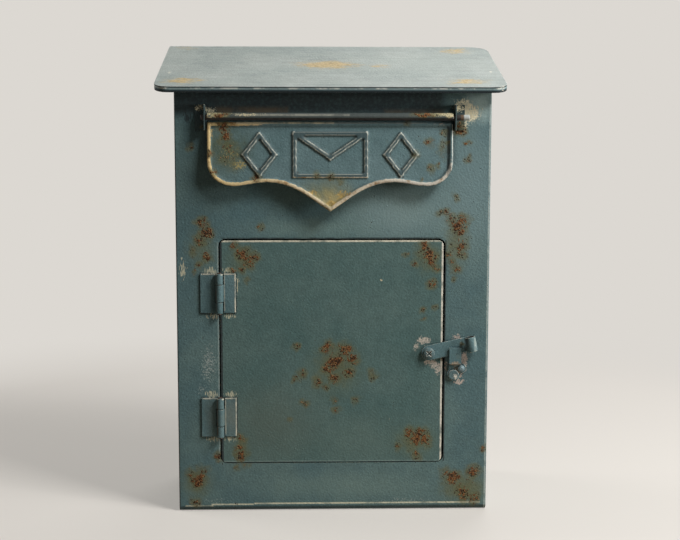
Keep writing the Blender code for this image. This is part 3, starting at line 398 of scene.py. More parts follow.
        # Short upright scratches to the undercoat, hair-thin in truth and drawn at 0.7 mm to show, and dark
        # hair-marks that are a painted shadow
        tall = add(tree, "ShaderNodeVectorMath", {0: mm, 1: (1.0, 1.0, 0.16)}, operation="MULTIPLY")
        hair = add(tree, "ShaderNodeTexNoise", {"Vector": tall, "Scale": 1 / 0.7, "Detail": 2.0})
    for tint, places in scratches_and_shadow:
        amount = spots(tree, stirred, places, depth, lying)
        hairs = add(tree, "ShaderNodeMath", {0: amount, 1: 0.36, 2: hair}, operation="MULTIPLY_ADD")
        hairs = add(tree, "ShaderNodeMapRange", {0: hairs, 1: 0.77, 2: 0.87, 3: 0.0, 4: 0.9}, **SMOOTH)
        if one_side:
            hairs = add(tree, "ShaderNodeMath", {0: hairs, 1: front}, operation="MULTIPLY")
        colour = add(tree, "ShaderNodeMix", {0: hairs, 6: colour, 7: tint}, **BLEND)

    # Rust from the placed clusters, and from scattered ones where no photograph shows it
    amount = spots(tree, bent, rust, depth, lying) if rust else None
    if wild_rust:
        wide = add(tree, "ShaderNodeTexNoise",
                   {"Vector": mm, "Scale": 1 / 34, "Detail": 3.0, "Roughness": 0.6})
        wild = add(tree, "ShaderNodeMapRange", {0: wide, 1: 0.56, 2: 0.72, 3: 0.0, 4: wild_rust}, **SMOOTH)
        if see_front:
            through = add(tree, "ShaderNodeSeparateXYZ", {0: mm}, output=1)
            behind = add(tree, "ShaderNodeMapRange", {0: through, 1: depth + 4, 2: depth + 14})
            wild = add(tree, "ShaderNodeMath", {0: wild, 1: behind}, operation="MULTIPLY")
        amount = wild if amount is None else add(
            tree, "ShaderNodeMath", {0: amount, 1: wild}, operation="MAXIMUM")
    rough = add(tree, "ShaderNodeMapRange",
                {0: grit, 1: 0.3, 2: 0.7, 3: ENAMEL_ROUGHNESS - 0.06, 4: ENAMEL_ROUGHNESS + 0.06})
    if amount is not None:
        colour, rough, height = rust_through(
            tree, mm, stirred, (blotch, clump, grit), nib, amount, colour, rough, height)

    bump = add(tree, "ShaderNodeBump", {"Height": height, "Distance": MM, "Strength": 0.8})
    shader = add(tree, "ShaderNodeBsdfPrincipled",
                 {"Base Color": colour, "Roughness": rough, "Normal": bump, "Specular IOR Level": 0.2})
    add(tree, "ShaderNodeOutputMaterial", {"Surface": shader})
    return material


def old_steel(name, clean, stained, rust, roughness=0.42, metallic=0.9, bright_end=None):
    """Plain steel gone dull, with brown stain in blotches of 3 mm and a fine grain. The real grain of
    0.1 mm is too fine to show, so it is drawn at 0.5 mm. rust is the share of the stain, and bright_end
    the x in millimetres from which the steel is rubbed bright, next to a brown band."""
    material, tree = new_material(name)
    place = add(tree, "ShaderNodeTexCoord", output="Object")
    mm = add(tree, "ShaderNodeVectorMath", {0: place, "Scale": 1 / MM}, operation="SCALE")
    blotch = add(tree, "ShaderNodeTexNoise",
                 {"Vector": mm, "Scale": 1 / 3.0, "Detail": 4.0, "Roughness": 0.65})
    grain = add(tree, "ShaderNodeTexNoise", {"Vector": mm, "Scale": 1 / 0.5, "Detail": 2.0})
    stain = add(tree, "ShaderNodeMapRange",
                {0: blotch, 1: 0.62 - rust * 0.3, 2: 0.7 - rust * 0.2}, **SMOOTH)
    colour = add(tree, "ShaderNodeMix", {0: stain, 6: clean, 7: stained}, **BLEND)
    shade = add(tree, "ShaderNodeMapRange", {0: grain, 1: 0.3, 2: 0.7, 3: 0.85, 4: 1.12})
    colour = add(tree, "ShaderNodeVectorMath", {0: colour, "Scale": shade}, operation="SCALE")
    if bright_end:
        far = add(tree, "ShaderNodeSeparateXYZ", {0: mm}, output=0)
        brown = add(tree, "ShaderNodeMapRange", {0: far, 1: bright_end - 3.0, 2: bright_end - 2.0})
        colour = add(tree, "ShaderNodeMix", {0: brown, 6: colour, 7: "#54402d"}, **BLEND)
        far = add(tree, "ShaderNodeMapRange", {0: far, 1: bright_end - 0.5, 2: bright_end + 0.5})
        colour = add(tree, "ShaderNodeMix", {0: far, 6: colour, 7: "#a6aaa5"}, **BLEND)
    metal = add(tree, "ShaderNodeMapRange", {0: stain, 3: metallic, 4: 0.25})
    rough = add(tree, "ShaderNodeMapRange", {0: stain, 3: roughness, 4: 0.8})
    bump = add(tree, "ShaderNodeBump", {"Height": grain, "Distance": 0.06 * MM, "Strength": 0.7})
    shader = add(tree, "ShaderNodeBsdfPrincipled",
                 {"Base Color": colour, "Roughness": rough, "Metallic": metal, "Normal": bump})
    add(tree, "ShaderNodeOutputMaterial", {"Surface": shader})
    return material


# Shapes made from copies of the CAD nodes

def finished(name, mesh, node, body, material):
    """Turn a bmesh into a piece that stands for a CAD node."""
    data = bpy.data.meshes.new(name)
    mesh.to_mesh(data)
    mesh.free()
    piece = bpy.data.objects.new(name, data)
    scene.collection.objects.link(piece)
    data.materials.append(material)
    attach(piece, body)
    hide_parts(node)
    return piece


def merged_copy(node):
    """A bmesh of the node with its doubles merged and its flat faces joined."""
    mesh = bmesh.new()
    mesh.from_mesh(nodes[node].data)
    bmesh.ops.remove_doubles(mesh, verts=mesh.verts, dist=SAME_PLACE)
    bmesh.ops.dissolve_limit(mesh, angle_limit=SAME_PLANE, use_dissolve_boundaries=False,
                             verts=mesh.verts, edges=mesh.edges)
    return mesh


def folded_edges(mesh):
    """Edges of a sheet's upper face where a lip is folded down beside it."""
    found = []
    for edge in mesh.edges:
        tops = [face for face in edge.link_faces if face.normal.z > UPWARD]
        heights = [face.calc_area() / edge.calc_length()
                   for face in edge.link_faces if face.normal.z < UPWARD]
        if len(tops) == 1 and heights and heights[0] > LEAST_LIP:
            found.append(edge)
    return found


def wear_and_highlight(made, layer, amount):
    """Give the vertices inside a new rounding their share of the pale edge colour: wear on sharp edges, a
    painted highlight on a lip's bead.
    """
    rounding = set(made["faces"])
    for vert in made["verts"]:
        if vert.is_valid and all(face in rounding for face in vert.link_faces):
            vert[layer] = amount


def softened(name, node, body, material, width, bead=0.0):
    """A copy of a sheet part whose sharp edges are rounded to this width, with the attribute edge,
    which is 1 on the roundings. bead is the wider rounding of a folded lip, which takes a smaller share as
    a painted highlight."""
    mesh = merged_copy(node)
    layer = mesh.verts.layers.float.new("edge")
    if bead:
        made = bmesh.ops.bevel(mesh, geom=folded_edges(mesh), offset=bead, offset_type="OFFSET",
                               segments=4, profile=0.5, affect="EDGES", material=-1, clamp_overlap=True)
        wear_and_highlight(made, layer, BEAD_HIGHLIGHT)
    sharp = [e for e in mesh.edges if len(e.link_faces) == 2 and e.calc_face_angle() > SHARP_FOLD]
    made = bmesh.ops.bevel(mesh, geom=sharp, offset=width, offset_type="OFFSET", segments=2, profile=0.5,
                           affect="EDGES", material=-1, clamp_overlap=True, loop_slide=True)
    wear_and_highlight(made, layer, 1.0)
    for face in mesh.faces:
        face.smooth = True
    piece = finished(name, mesh, node, body, material)
    flat = piece.modifiers.new("flat faces stay flat", "WEIGHTED_NORMAL")
    flat.weight = 100


def worn_smooth(name, node, body, material, voxel, passes, mark=None):
    """A copy of a pressed or bent part with its edges worn round, remeshed with cubes of voxel metres
    and smoothed in so many passes, and with the attribute worn, its convexity in 1 per mm. mark adds
    attributes of the part's own."""
    mesh = merged_copy(node)
    data = bpy.data.meshes.new(name)
    bmesh.ops.triangulate(mesh, faces=mesh.faces)
    mesh.to_mesh(data)
    mesh.free()
    shape = bpy.data.objects.new(name + "_shape", data)
    scene.collection.objects.link(shape)
    remesh = shape.modifiers.new("remesh", "REMESH")
    remesh.mode = "VOXEL"
    remesh.voxel_size = voxel
    solid = bpy.data.meshes.new_from_object(shape.evaluated_get(bpy.context.evaluated_depsgraph_get()))
    bpy.data.objects.remove(shape)
    mesh = bmesh.new()
    mesh.from_mesh(solid)
    for _ in range(passes):
        bmesh.ops.smooth_vert(mesh, verts=mesh.verts, factor=0.5, use_axis_x=True, use_axis_y=True,
                              use_axis_z=True)
    mesh.normal_update()
    layer = mesh.verts.layers.float.new("worn")
    for vert in mesh.verts:
        # How far the vertex stands over its neighbours, against the squares of their distances
        steps = [vert.co - edge.other_vert(vert).co for edge in vert.link_edges]
        bend = sum(s.dot(vert.normal) for s in steps) / sum(s.length_squared for s in steps)
        vert[layer] = 2 * bend * MM
    for _ in range(2):
        # Half of each vertex's convexity comes from its neighbours
        soft = {vert: 0.5 * vert[layer] + 0.5 * sum(e.other_vert(vert)[layer] for e in vert.link_edges)
                / len(vert.link_edges) for vert in mesh.verts}
        for vert, value in soft.items():
            vert[layer] = value
    if mark:
        mark(mesh)
    for face in mesh.faces:
        face.smooth = True
    finished(name, mesh, node, body, material)


def mark_flap(mesh):
    """Attributes rim and relief, from how far the rim and the pressed marks stand in front of the panel."""
    rim = mesh.verts.layers.float.new("rim")
    relief = mesh.verts.layers.float.new("relief")
    for vert in mesh.verts:
        y = vert.co.y - FLAP_AXIS.y
        z = vert.co.z - FLAP_AXIS.z
        # deep is how far it lies behind the axis, square to the flap, and drop how far down the flap
        deep = cos(FLAP_LEAN) * y - sin(FLAP_LEAN) * z
        drop = -sin(FLAP_LEAN) * y - cos(FLAP_LEAN) * z
        raised = min(1.0, max(0.0, (FLAP_PANEL - deep) / FLAP_RAISE))
        on_mark = abs(vert.co.x - FLAP_AXIS.x) < MARKS_HALF_WIDTH and MARKS_TOP < drop < MARKS_FOOT
        if drop > ROLL_FOOT:
            vert[relief if on_mark else rim] = raised


# Marks seen on the object, in millimetres: spots as x, z, reach and strength, or x, y on the roof, and
# strips as centre, half sizes, soft margin and strength. A colour stands before the marks that it tints.

FRONT_RUST = [
    (-99.1, 228.2, 11, 1.0), (-103.8, 236.2, 9, 0.85), (-104.0, 221.9, 9, 0.8), (-99.4, 208.3, 8, 0.85),
    (-109.6, 213.1, 6, 0.6), (-105.0, 201.9, 6, 0.65), (-108.2, 195.5, 5, 0.6), (-56.4, 232.9, 6, 0.6),
    (95.5, 237.6, 9, 0.75), (105.1, 236.8, 10, 0.85), (102.0, 231.2, 11, 1.0), (104.6, 216.0, 9, 0.9),
    (104.7, 211.2, 7, 0.7), (95.9, 203.9, 7, 0.7), (100.0, 198.3, 8, 0.7), (99.3, 190.2, 5, 0.6),
    (93.5, 209.6, 7, 0.7), (86.7, 244.0, 7, 0.65), (91.5, 243.2, 7, 0.7), (100.0, 222.0, (16, 22), 0.45),
    (-76.2, 36.6, 6, 0.6), (-68.9, 39.1, 6, 0.6), (-92.0, 45.5, 7, 0.9),
    (-108.0, 26.0, 12, 1.0), (-113.7, 30.0, 9, 0.7), (-109.8, 7.6, 9, 0.7), (-104.0, 33.0, 9, 0.65),
    (99.8, 26.2, 11, 0.95), (116.2, 31.5, 10, 0.9), (108.2, 13.0, 13, 0.8), (116.9, 9.3, 10, 0.8),
    (93.0, 31.0, 8, 0.6), (124.0, 51.2, 6, 0.65), (106.0, 19.0, (24, 16), 0.5), (108.2, 298.2, 5, 0.65),
    (109.2, 287.2, 6, 0.7), (99.3, 255.9, 6, 0.6), (-110.9, 295.3, 6, 0.65), (102.5, 308.5, (9, 8), 1.1)]
FRONT_DUST = [
    ("#8f9894", [(-98.0, 121.0, (14, 36), 0.85), (-104.0, 101.0, (9, 10), 0.7), (-98.0, 62.0, (10, 8), 0.6),
                 (-92.0, 8.0, (30, 7), 0.6), (60.0, 8.0, (60, 6), 0.6)]),
    ("#ddd2b2", [(104.0, 327.0, (15, 11), 1.5), (110.0, 321.0, (14, 10), 1.5), (103.5, 313.0, (9, 7), 1.3),
                 (-96.0, 324.0, (12, 5), 1.1)]),
    ("#d3cdc0", [(102.0, 111.0, (4, 6), 1.4)]),
    ("#b6a69a", [(107.5, 124.0, (5, 17), 1.4), (104.5, 113.5, (6, 8), 1.3), (102.0, 142.5, (8, 6), 1.2),
                 (104.0, 106.5, (9, 5), 1.2), (92.8, 119.0, (2.5, 10), 1.0)])]
FRONT_SCRATCHES_AND_SHADOW = [
    ("#b5b29a", [(-118.0, 198.5, (6, 17), 1.1), (-95.5, 197.5, (13, 6), 1.1), (-95.0, 161.0, (13, 5), 0.95),
                 (-95.5, 97.0, (13, 6), 1.1), (-95.0, 60.0, (13, 6), 1.0)]),
    ("#d2c8a8", [(108.0, 323.0, (20, 17), 1.05)]),
    # Dark hair-marks round the left rod bracket: painted shadow
    ("#20282a", [(-112.5, 318.0, (9, 11), 1.15), (-105.0, 310.0, (8, 8), 1.0)])]
FRONT_LINES = [
    ("#c9c6ae", [((-107.0, FACE, 4.3), (11.0, 1.5, 0.3), 0.5, 0.7),
                 ((-80.0, FACE, 5.4), (17.0, 1.5, 0.3), 0.5, 0.8),
                 ((30.0, FACE, 6.0), (92.0, 1.5, 0.35), 0.5, 0.9)]),
    # Painted highlight on the left edge of the door opening
    ("#8f9d9a", [((-90.2, FACE, 131.0), (0.25, 1.0, 89.0), 0.4, 0.65)]),
    ("#5d5242", [((-62.0, FACE, 323.6), (26.0, 2.0, 0.6), 4.5, 0.75),
                 ((66.0, FACE, 322.0), (22.0, 2.0, 0.6), 4.0, 0.5)]),
    # Painted shade along the top edge of the door opening
    ("#1d2426", [((0.9, FACE, 223.3), (88.0, 2.0, 0.2), 0.5, 0.8)]),
    # Wear and painted highlight along the right fold
    ("#9aa5a0", [((125.6, FACE, 165.0), (0.35, 1.6, 164.0), 0.4, 0.8)])]
# Painted shade, nearly black: under the roof, behind the flap, round the hinge leaves, along the face's
# bottom and left edge, and in the right gap of the door opening
FRONT_SHADE = [
    ((-26.0, FACE, 334.0), (110.0, 3.0, 9.0), 9.0, 0.85),
    ((-0.8, FACE, 300.0), (96.0, 3.0, 14.0), 6.0, 0.5),
    ((-95.1, FACE, UPPER_HINGE), (9.1, 1.0, 15.9), 1.2, 0.9),
    ((-95.1, FACE, LOWER_HINGE), (9.1, 1.0, 15.9), 1.2, 0.9),
    ((0.0, FACE, 1.5), (130.0, 6.0, 1.5), 2.0, 0.6),
    ((91.7, FACE, 131.0), (0.3, 2.0, 90.0), 0.5, 0.85),
    ((-123.0, -51.0, 165.0), (0.4, 1.5, 175.0), 0.6, 0.85)]
# The pale zones to the right and under the roof's right end, and the dark one on the left, are painted
# light and shade; the olive ones are stain round the rust
FRONT_FADING_AND_LIGHT = [
    ("#74898a", [(112.0, 262.0, (46, 90), 0.6)]),
    ("#7c908e", [(55.0, 244.0, (62, 36), 0.75)]),
    ("#93a6a2", [(117.0, 327.0, (18, 18), 1.0)]),
    ("#72877f", [(-20.0, 231.0, (74, 12), 0.45), (0.0, 20.0, (110, 18), 0.4)]),
    ("#3a4a49", [(-112.0, 262.0, (40, 60), 0.4)]),
    ("#5f613f", [(109.0, 17.0, (28, 19), 0.65), (-109.0, 24.0, (19, 19), 0.55),
                 (100.0, 215.0, (14, 32), 0.35), (-103.0, 215.0, (17, 28), 0.45)])]

DOOR_RUST = [
    (-70.0, 210.5, 11, 0.95), (-77.5, 217.2, 8, 0.75), (-66.9, 204.2, 9, 0.75), (-67.0, 189.0, 5, 0.6),
    (-61.5, 207.0, 8, 0.8), (-64.0, 201.0, 7, 0.75), (-71.0, 198.5, 6, 0.7), (-77.5, 197.0, 6, 0.7),
    (79.1, 208.8, 11, 1.0), (75.0, 216.0, 9, 0.85), (79.1, 204.0, 9, 0.85), (84.0, 199.1, 7, 0.75),
    (59.1, 209.6, 5, 0.6), (67.1, 201.6, 7, 0.65), (81.3, 186.0, 7, 0.7), (73.9, 166.0, 5, 0.6),
    (82.7, 167.6, 5, 0.6), (74.0, 157.9, 4, 0.5), (76.0, 209.0, (18, 20), 0.45),
    (3.3, 123.0, 13, 1.0), (-2.4, 134.8, 10, 0.9), (12.3, 132.3, 11, 0.95), (17.3, 125.0, 9, 0.9),
    (14.1, 114.3, 8, 0.85), (-2.4, 117.3, 10, 0.9), (3.3, 109.5, 9, 0.8), (5.0, 122.0, (24, 24), 0.5),
    (-28.1, 136.2, 6, 0.65), (-23.3, 114.1, 7, 0.7), (-28.2, 109.2, 6, 0.65), (-11.2, 106.7, 8, 0.7),
    (-4.8, 103.4, 6, 0.65), (-21.0, 89.4, 6, 0.65), (-33.1, 76.3, 5, 0.5), (4.1, 82.7, 6, 0.6),
    (20.3, 91.7, 7, 0.65), (33.9, 113.0, 8, 0.6), (2.0, 92.0, 6, 0.55),
    (70.0, 60.7, 11, 1.0), (76.6, 58.2, 9, 0.9), (64.3, 64.4, 9, 0.8), (54.6, 51.7, 6, 0.6),
    (73.0, 66.0, 8, 0.8), (70.2, 45.2, 7, 0.65), (68.0, 58.0, (18, 16), 0.45),
    (-73.7, 52.8, 9, 0.85), (-72.0, 60.0, 7, 0.75), (-72.3, 46.1, 9, 0.85)]
DOOR_DUST = [
    ("#b8aea1", [(74.5, 140.0, (12, 7), 1.3), (68.5, 135.5, (5, 8), 1.1)]),
    ("#c9bd9c", [(40.0, 189.5, 1.6, 1.2), (47.1, 75.8, 1.6, 1.1)]),
    ("#b3a99d", [(79.0, 123.0, (9, 5), 1.3), (83.5, 120.5, (8, 6), 1.4), (86.5, 117.5, (5, 9), 1.4)]),
    ("#9aa09a", [(-76.0, 179.0, (3, 16), 0.4), (-76.0, 78.0, (3, 16), 0.4)])]
DOOR_SCRATCHES = [
    ("#b5b29a", [(-81.5, 197.5, (11, 6), 1.1), (-81.0, 161.0, (11, 5), 0.95), (-81.0, 97.0, (11, 6), 1.1),
                 (-81.0, 60.0, (11, 5), 1.0), (-74.5, 186.0, (2.4, 16), 1.05)])]
DOOR_LINES = [
    # Wear and painted highlight along the door's top edge
    ("#cbc6b2", [((0.7, FACE, 220.8), (88.6, 2.0, 0.45), 0.5, 0.95)]),
    ("#7f918c", [((0.7, FACE, 41.3), (88.6, 2.0, 0.2), 0.4, 0.5)]),
    # Painted shade in the gap under the door
    ("#1d2426", [((0.7, FACE, 40.3), (88.6, 2.0, 0.35), 0.4, 0.85)]),
    # Wear and painted highlight along the door's right edge
    ("#d2cdbf", [((89.2, FACE, 131.0), (0.45, 2.0, 89.0), 0.5, 1.0)])]
# Painted shade in the door's gap on the hinge side and round its hinge leaves
DOOR_SHADE = [
    ((-87.9, -52.0, 131.0), (0.8, 2.0, 89.5), 0.5, 0.95),
    ((-83.5, FACE, UPPER_HINGE), (7.6, 1.0, 15.9), 1.2, 0.9),
    ((-83.5, FACE, LOWER_HINGE), (7.6, 1.0, 15.9), 1.2, 0.9)]
DOOR_FADED = [
    ("#5a6359", [(-50.0, 72.0, (60, 50), 0.5)]), ("#5f7169", [(20.0, 62.0, (80, 30), 0.35)]),
    ("#595f42", [(3.0, 116.0, (34, 34), 0.4), (68.0, 57.0, (26, 20), 0.5), (-70.0, 206.0, (18, 18), 0.5),
                 (78.0, 206.0, (17, 22), 0.4), (-73.0, 52.0, (10, 16), 0.5)])]

FLAP_RUST = [
    (-84.4, 309.0, 10, 1.4), (-81.5, 303.3, 8, 1.2), (-94.4, 290.9, 6, 0.8), (-91.7, 275.8, 6, 0.85),
    (-59.2, 271.5, 6, 0.8), (-2.6, 248.5, 7, 0.6), (-80.7, 291.4, (18, 20), 0.5), (77.3, 298.8, 7, 0.7),
    (65.6, 289.4, 6, 0.6), (87.2, 294.9, (8, 14), 0.55), (78.3, 278.4, 6, 0.6), (59.9, 314.3, 6, 0.6),
    (-12.0, 273.7, 5, 0.6), (-0.2, 272.1, 6, 0.6), (6.8, 269.0, 5, 0.6), (-86.0, 321.0, (10, 4), 1.2),
    (88.5, 306.5, 5, 0.8), (84.0, 281.0, 4, 0.65), (91.0, 299.0, 4, 0.7), (70.5, 271.0, 4, 0.6),
    (74.0, 320.5, (16, 3), 1.2), (-86.0, 300.0, 6, 0.6)]
FLAP_DUST = [
    ("#c2b48c", [(-90.0, 320.6, (20, 5), 1.3), (-66.0, 320.6, (30, 2.4), 1.0),
                 (84.0, 320.6, (26, 3.4), 1.2), (92.0, 320.6, (9, 5), 1.3)]),
    ("#a08f58", [(-80.0, 291.0, (20, 21), 0.7), (-72.0, 282.0, (15, 10), 0.9)]),
    ("#c4b17a", [(-3.0, 248.0, (22, 13), 0.95)])]
FLAP_STAINED = [
    (-3.0, 249.0, (22, 12), 1.35), (-16.0, 258.0, (12, 8), 1.1), (10.0, 258.0, (14, 8), 1.1),
    (-93.0, 306.0, (5, 10), 0.8), (-90.0, 273.0, (8, 4), 0.7)]
FLAP_FADED = [
    ("#3d4a3a", [(-82.0, 297.0, (32, 36), 0.95)]),
    ("#7d7a56", [(-3.0, 254.0, (36, 24), 0.85)]),
    ("#b7a269", [(-3.0, 246.0, (28, 19), 0.95)])]
FLAP_LINES = [
    # Painted highlight along the roll, with wear
    ("#8b8a7e", [((-30.0, -62.0, 320.4), (44.0, 3.0, 0.3), 0.9, 0.7)]),
    ("#c2b796", [((-36.0, -60.0, 314.2), (38.0, 5.0, 0.4), 0.6, 0.9)]),
    # Painted shadow of the right rim on the panel
    ("#2b3436", [((92.4, FLAP_Y, 292.0), (1.0, 4.0, 20.0), 1.2, 0.85)]),
    # Painted highlight on the right rim's outer edge
    ("#c3c4ba", [((95.2, FLAP_Y, 293.0), (0.25, 4.0, 20.0), 0.4, 0.8)]),
    ("#8d9088", [((35.0, -60.0, 314.2), (40.0, 5.0, 0.25), 0.5, 0.6)])]
RIM_GONE = [
    (30.0, 314.0, (110, 9), 1.2), (-30.0, 314.0, (48, 6), 1.0), (94.0, 305.0, (14, 34), 0.9)]

ROOF_SMEARS = [
    (-122.0, 57.0, (26, 14), 1.3), (-116.0, -50.0, (36, 20), 1.35), (-2.0, 2.0, (52, 26), 1.3),
    (40.0, -2.0, (24, 14), 0.9), (108.0, 50.0, (34, 22), 1.35), (108.0, -50.0, (40, 20), 1.35)]
ROOF_FLECKS_AND_GLINT = [("#dcd8c8", [(-129.0, -24.5, (3, 6), 1.2), (130.0, -20.0, (3, 7), 1.2),
                            # The spot at the lip's right corner is a painted highlight
                            (134.5, -64.0, (9, 7), 1.3)])]
ROOF_FADED = [
    ("#b9c0b8", [(70.0, 10.0, (90, 60), 0.3)]),
    ("#8b9694", [(0.0, 55.0, (80, 20), 0.5)])]

BRACKET_RUST = [
    (100.5, 312.0, (7, 7), 1.1), (104.0, 310.0, (6, 6), 1.0), (-102.0, 311.0, (4, 4), 0.6)]
BRACKET_DUST = [
    ("#e0d5b4", [(101.0, 326.5, (9, 6), 1.6), (104.0, 311.5, (6, 5), 1.3), (-103.0, 326.0, (8, 6), 1.5)])]
FITTING_RUST = [(105.0, 137.0, (4, 4), 0.8)]
# Painted shade left of the latch's curl and inside its open end
FITTING_SHADE = [
    ((108.4, CURL_Y, 138.0), (0.4, 3.0, 5.0), 1.6, 0.7),
    ((111.6, CURL_Y, 142.0), (3.0, 1.6, 5.0), 0.6, 0.95),
    ((111.6, CURL_Y, 142.0), (1.6, 3.0, 5.0), 0.6, 0.95),
    ((111.6, CURL_Y, 142.0), (2.4, 2.4, 5.0), 0.5, 0.95)]
FITTING_DUST = [
    ("#b3a391", [(103.5, 143.0, (4, 3), 1.3), (104.0, 138.0, (3, 5), 0.8)]),
    ("#9a8a76", [(99.5, 121.5, (9, 5), 1.4), (103.0, 115.0, (4, 7), 1.4), (101.0, 118.0, (9, 5), 1.3)])]
# Painted highlight on the right side of the latch's curl
FITTING_LINES = [("#a9b6b1", [((115.4, -60.4, 138.0), (0.5, 2.0, 5.0), 1.4, 0.6)])]
LEAF_FADED = [("#6f756c", [(-80.0, 78.0, (12, 24), 0.65), (-97.0, 78.0, (8, 24), 0.3)])]
LEAF_LINES = [
    # The two lines beside the barrels are wear and painted highlight
    ("#b9b5a4", [((-84.9, LEAF_Y, UPPER_HINGE), (0.25, 3.0, 14.0), 0.4, 0.45),
                 ((-84.9, LEAF_Y, LOWER_HINGE), (0.25, 3.0, 14.0), 0.4, 0.6),
                 ((-76.4, LEAF_Y, UPPER_HINGE), (0.35, 3.0, 15.0), 0.4, 1.0),
                 ((-76.4, LEAF_Y, LOWER_HINGE), (0.35, 3.0, 15.0), 0.4, 1.0),
                 ((-88.0, LEAF_Y, 194.6), (15.0, 3.0, 0.3), 0.4, 0.8),
                 ((-88.0, LEAF_Y, 93.7), (15.0, 3.0, 0.3), 0.4, 0.8)]),
    ("#4c4438", [((-91.3, LEAF_Y, LOWER_HINGE), (0.3, 3.0, 14.0), 0.5, 0.8),
                 ((-91.3, LEAF_Y, UPPER_HINGE), (0.3, 3.0, 14.0), 0.5, 0.6)])]
HEAD_DUST = [("#cfcabc", [(100.2, 111.5, (3.5, 5), 1.4)])]


# Materials

# Enamel brushed on tin: a matt blue-grey face, cloudy and finely grained, with rust spots in olive
# rings, and folds that are rubbed to cream undercoat
body_paint = teal_enamel(
    "matt teal enamel on tin, front and sides", "#4b6366", "#566c6b", rust=FRONT_RUST, dusty=FRONT_DUST,
    scratches_and_shadow=FRONT_SCRATCHES_AND_SHADOW, painted_shade=FRONT_SHADE, fading_and_light=FRONT_FADING_AND_LIGHT, lines=FRONT_LINES, wild_rust=0.95,
    one_side=True)

# The same enamel on the door, which is touched most: a little darker and greener, with the densest rust
door_paint = teal_enamel(
    "matt teal enamel on the door", "#475f5d", "#506663", rust=DOOR_RUST, dusty=DOOR_DUST,
    scratches_and_shadow=DOOR_SCRATCHES, painted_shade=DOOR_SHADE, fading_and_light=DOOR_FADED, lines=DOOR_LINES, wild_rust=0.8,
    one_side=True)

# The same enamel where nothing rubs it: dull and even but for scattered rust
inner_paint = teal_enamel(
    "matt teal enamel on the back and floor", "#4a6262", "#566c69", wild_rust=1.0, see_front=False)

# Enamel painted pale grey, mostly a painted sheen of light from above, with faint streaks along the width
# and ochre smears
roof_paint = teal_enamel(
    "pale enamel on the roof with painted sheen", "#939c98", "#a1a8a3", stained=ROOF_SMEARS, dusty=ROOF_FLECKS_AND_GLINT,
    fading_and_light=ROOF_FADED, depth=ROOF_Z, lying=True, streaks=0.07, worn_from=0.4, worn_to=1.0,
    worn_tones=("#e0dccd", "#cfd0c6"), stain_tones=("#a48f5e", "#ccb384"), roof=True)

# Enamel on thin pressed sheet: blue-grey that turns ochre at the tip, with cream rims and a darkened roll
flap_paint = teal_enamel(
    "matt teal enamel on the pressed flap", "#4f6668", "#5d7375", rust=FLAP_RUST, dusty=FLAP_DUST,
    stained=FLAP_STAINED, fading_and_light=FLAP_FADED, lines=FLAP_LINES, rim_gone=RIM_GONE, depth=FLAP_Y,
    worn="worn", worn_from=0.6, worn_to=1.3, worn_tones=("#cbb27f", "#bdb6a8"), under_tone="#8a6a40",
    stain_tones=("#8a6a2c", "#b99a55"), flap=True)

# Enamel on turned and bent strip: worn to cream and brown at each bend, so that small parts stand out
hardware_paint = teal_enamel(
    "worn teal enamel on the latch and keeper", "#4d676b", "#5f7a7d", rust=FITTING_RUST,
    dusty=FITTING_DUST, painted_shade=FITTING_SHADE, lines=FITTING_LINES, depth=FITTINGS_Y, worn="worn",
    worn_from=0.8, worn_to=1.7, worn_tones=("#d3c8ae", "#c9c3b4"), under_tone="#7b6148",
    wild_rust=0.35, see_front=False)

# Enamel painted nearly black as shade under the roof, with cream dust on top
bracket_paint = teal_enamel(
    "near-black teal enamel on the rod brackets", "#2d3a3b", "#3c4b4b", rust=BRACKET_RUST,
    dusty=BRACKET_DUST, depth=FITTINGS_Y, worn="worn", worn_from=1.3, worn_to=2.2,
    worn_tones=("#a9a48f", "#a9a48f"), under_tone="#6b5540", wild_rust=0.3, see_front=False)

# Enamel on rolled hinge leaves: blue-grey between thin pale outlines
hinge_paint = teal_enamel(
    "blue-grey enamel on the hinges", "#475f62", "#587073", fading_and_light=LEAF_FADED, lines=LEAF_LINES,
    worn="worn", depth=-56.0, worn_from=1.1, worn_to=2.0, worn_tones=("#cfc6ad", "#cfc6ad"),
    under_tone="#7b6148", wild_rust=0.4, see_front=False)

# Enamel rubbed off domed heads: pale metal on their crests, with paint left in the recesses
screw_paint = teal_enamel(
    "dark enamel rubbed off the screw and rivets", "#4c6062", "#5a6f71", dusty=HEAD_DUST, worn="worn",
    depth=FITTINGS_Y, worn_from=0.5, worn_to=1.2, worn_tones=("#b9b8ae", "#b9b8ae"), under_tone="#8b8372",
    wild_rust=0.3, see_front=False)

# Drawn steel wire painted black and matt as the shade in the gap under the flap's roll, with one bare
# bright end
rod_steel = old_steel(
    "black steel wire of the flap rod", "#221c18", "#191411", rust=0.6, roughness=0.7, metallic=0.2,
    bright_end=103.8)

# A bare steel rivet gone dull: a soft grey sheen with few stains
bare_steel = old_steel(
    "dull steel of the dome rivet", "#66797d", "#4b4338", rust=0.2, roughness=0.5, metallic=0.3)

# Tarnished turned steel: brown-grey with a low shine
dark_steel = old_steel("tarnished steel of pins, nut and washer", "#77716a", "#3a2a20", rust=0.7)


# Pieces, with widths and voxels in metres

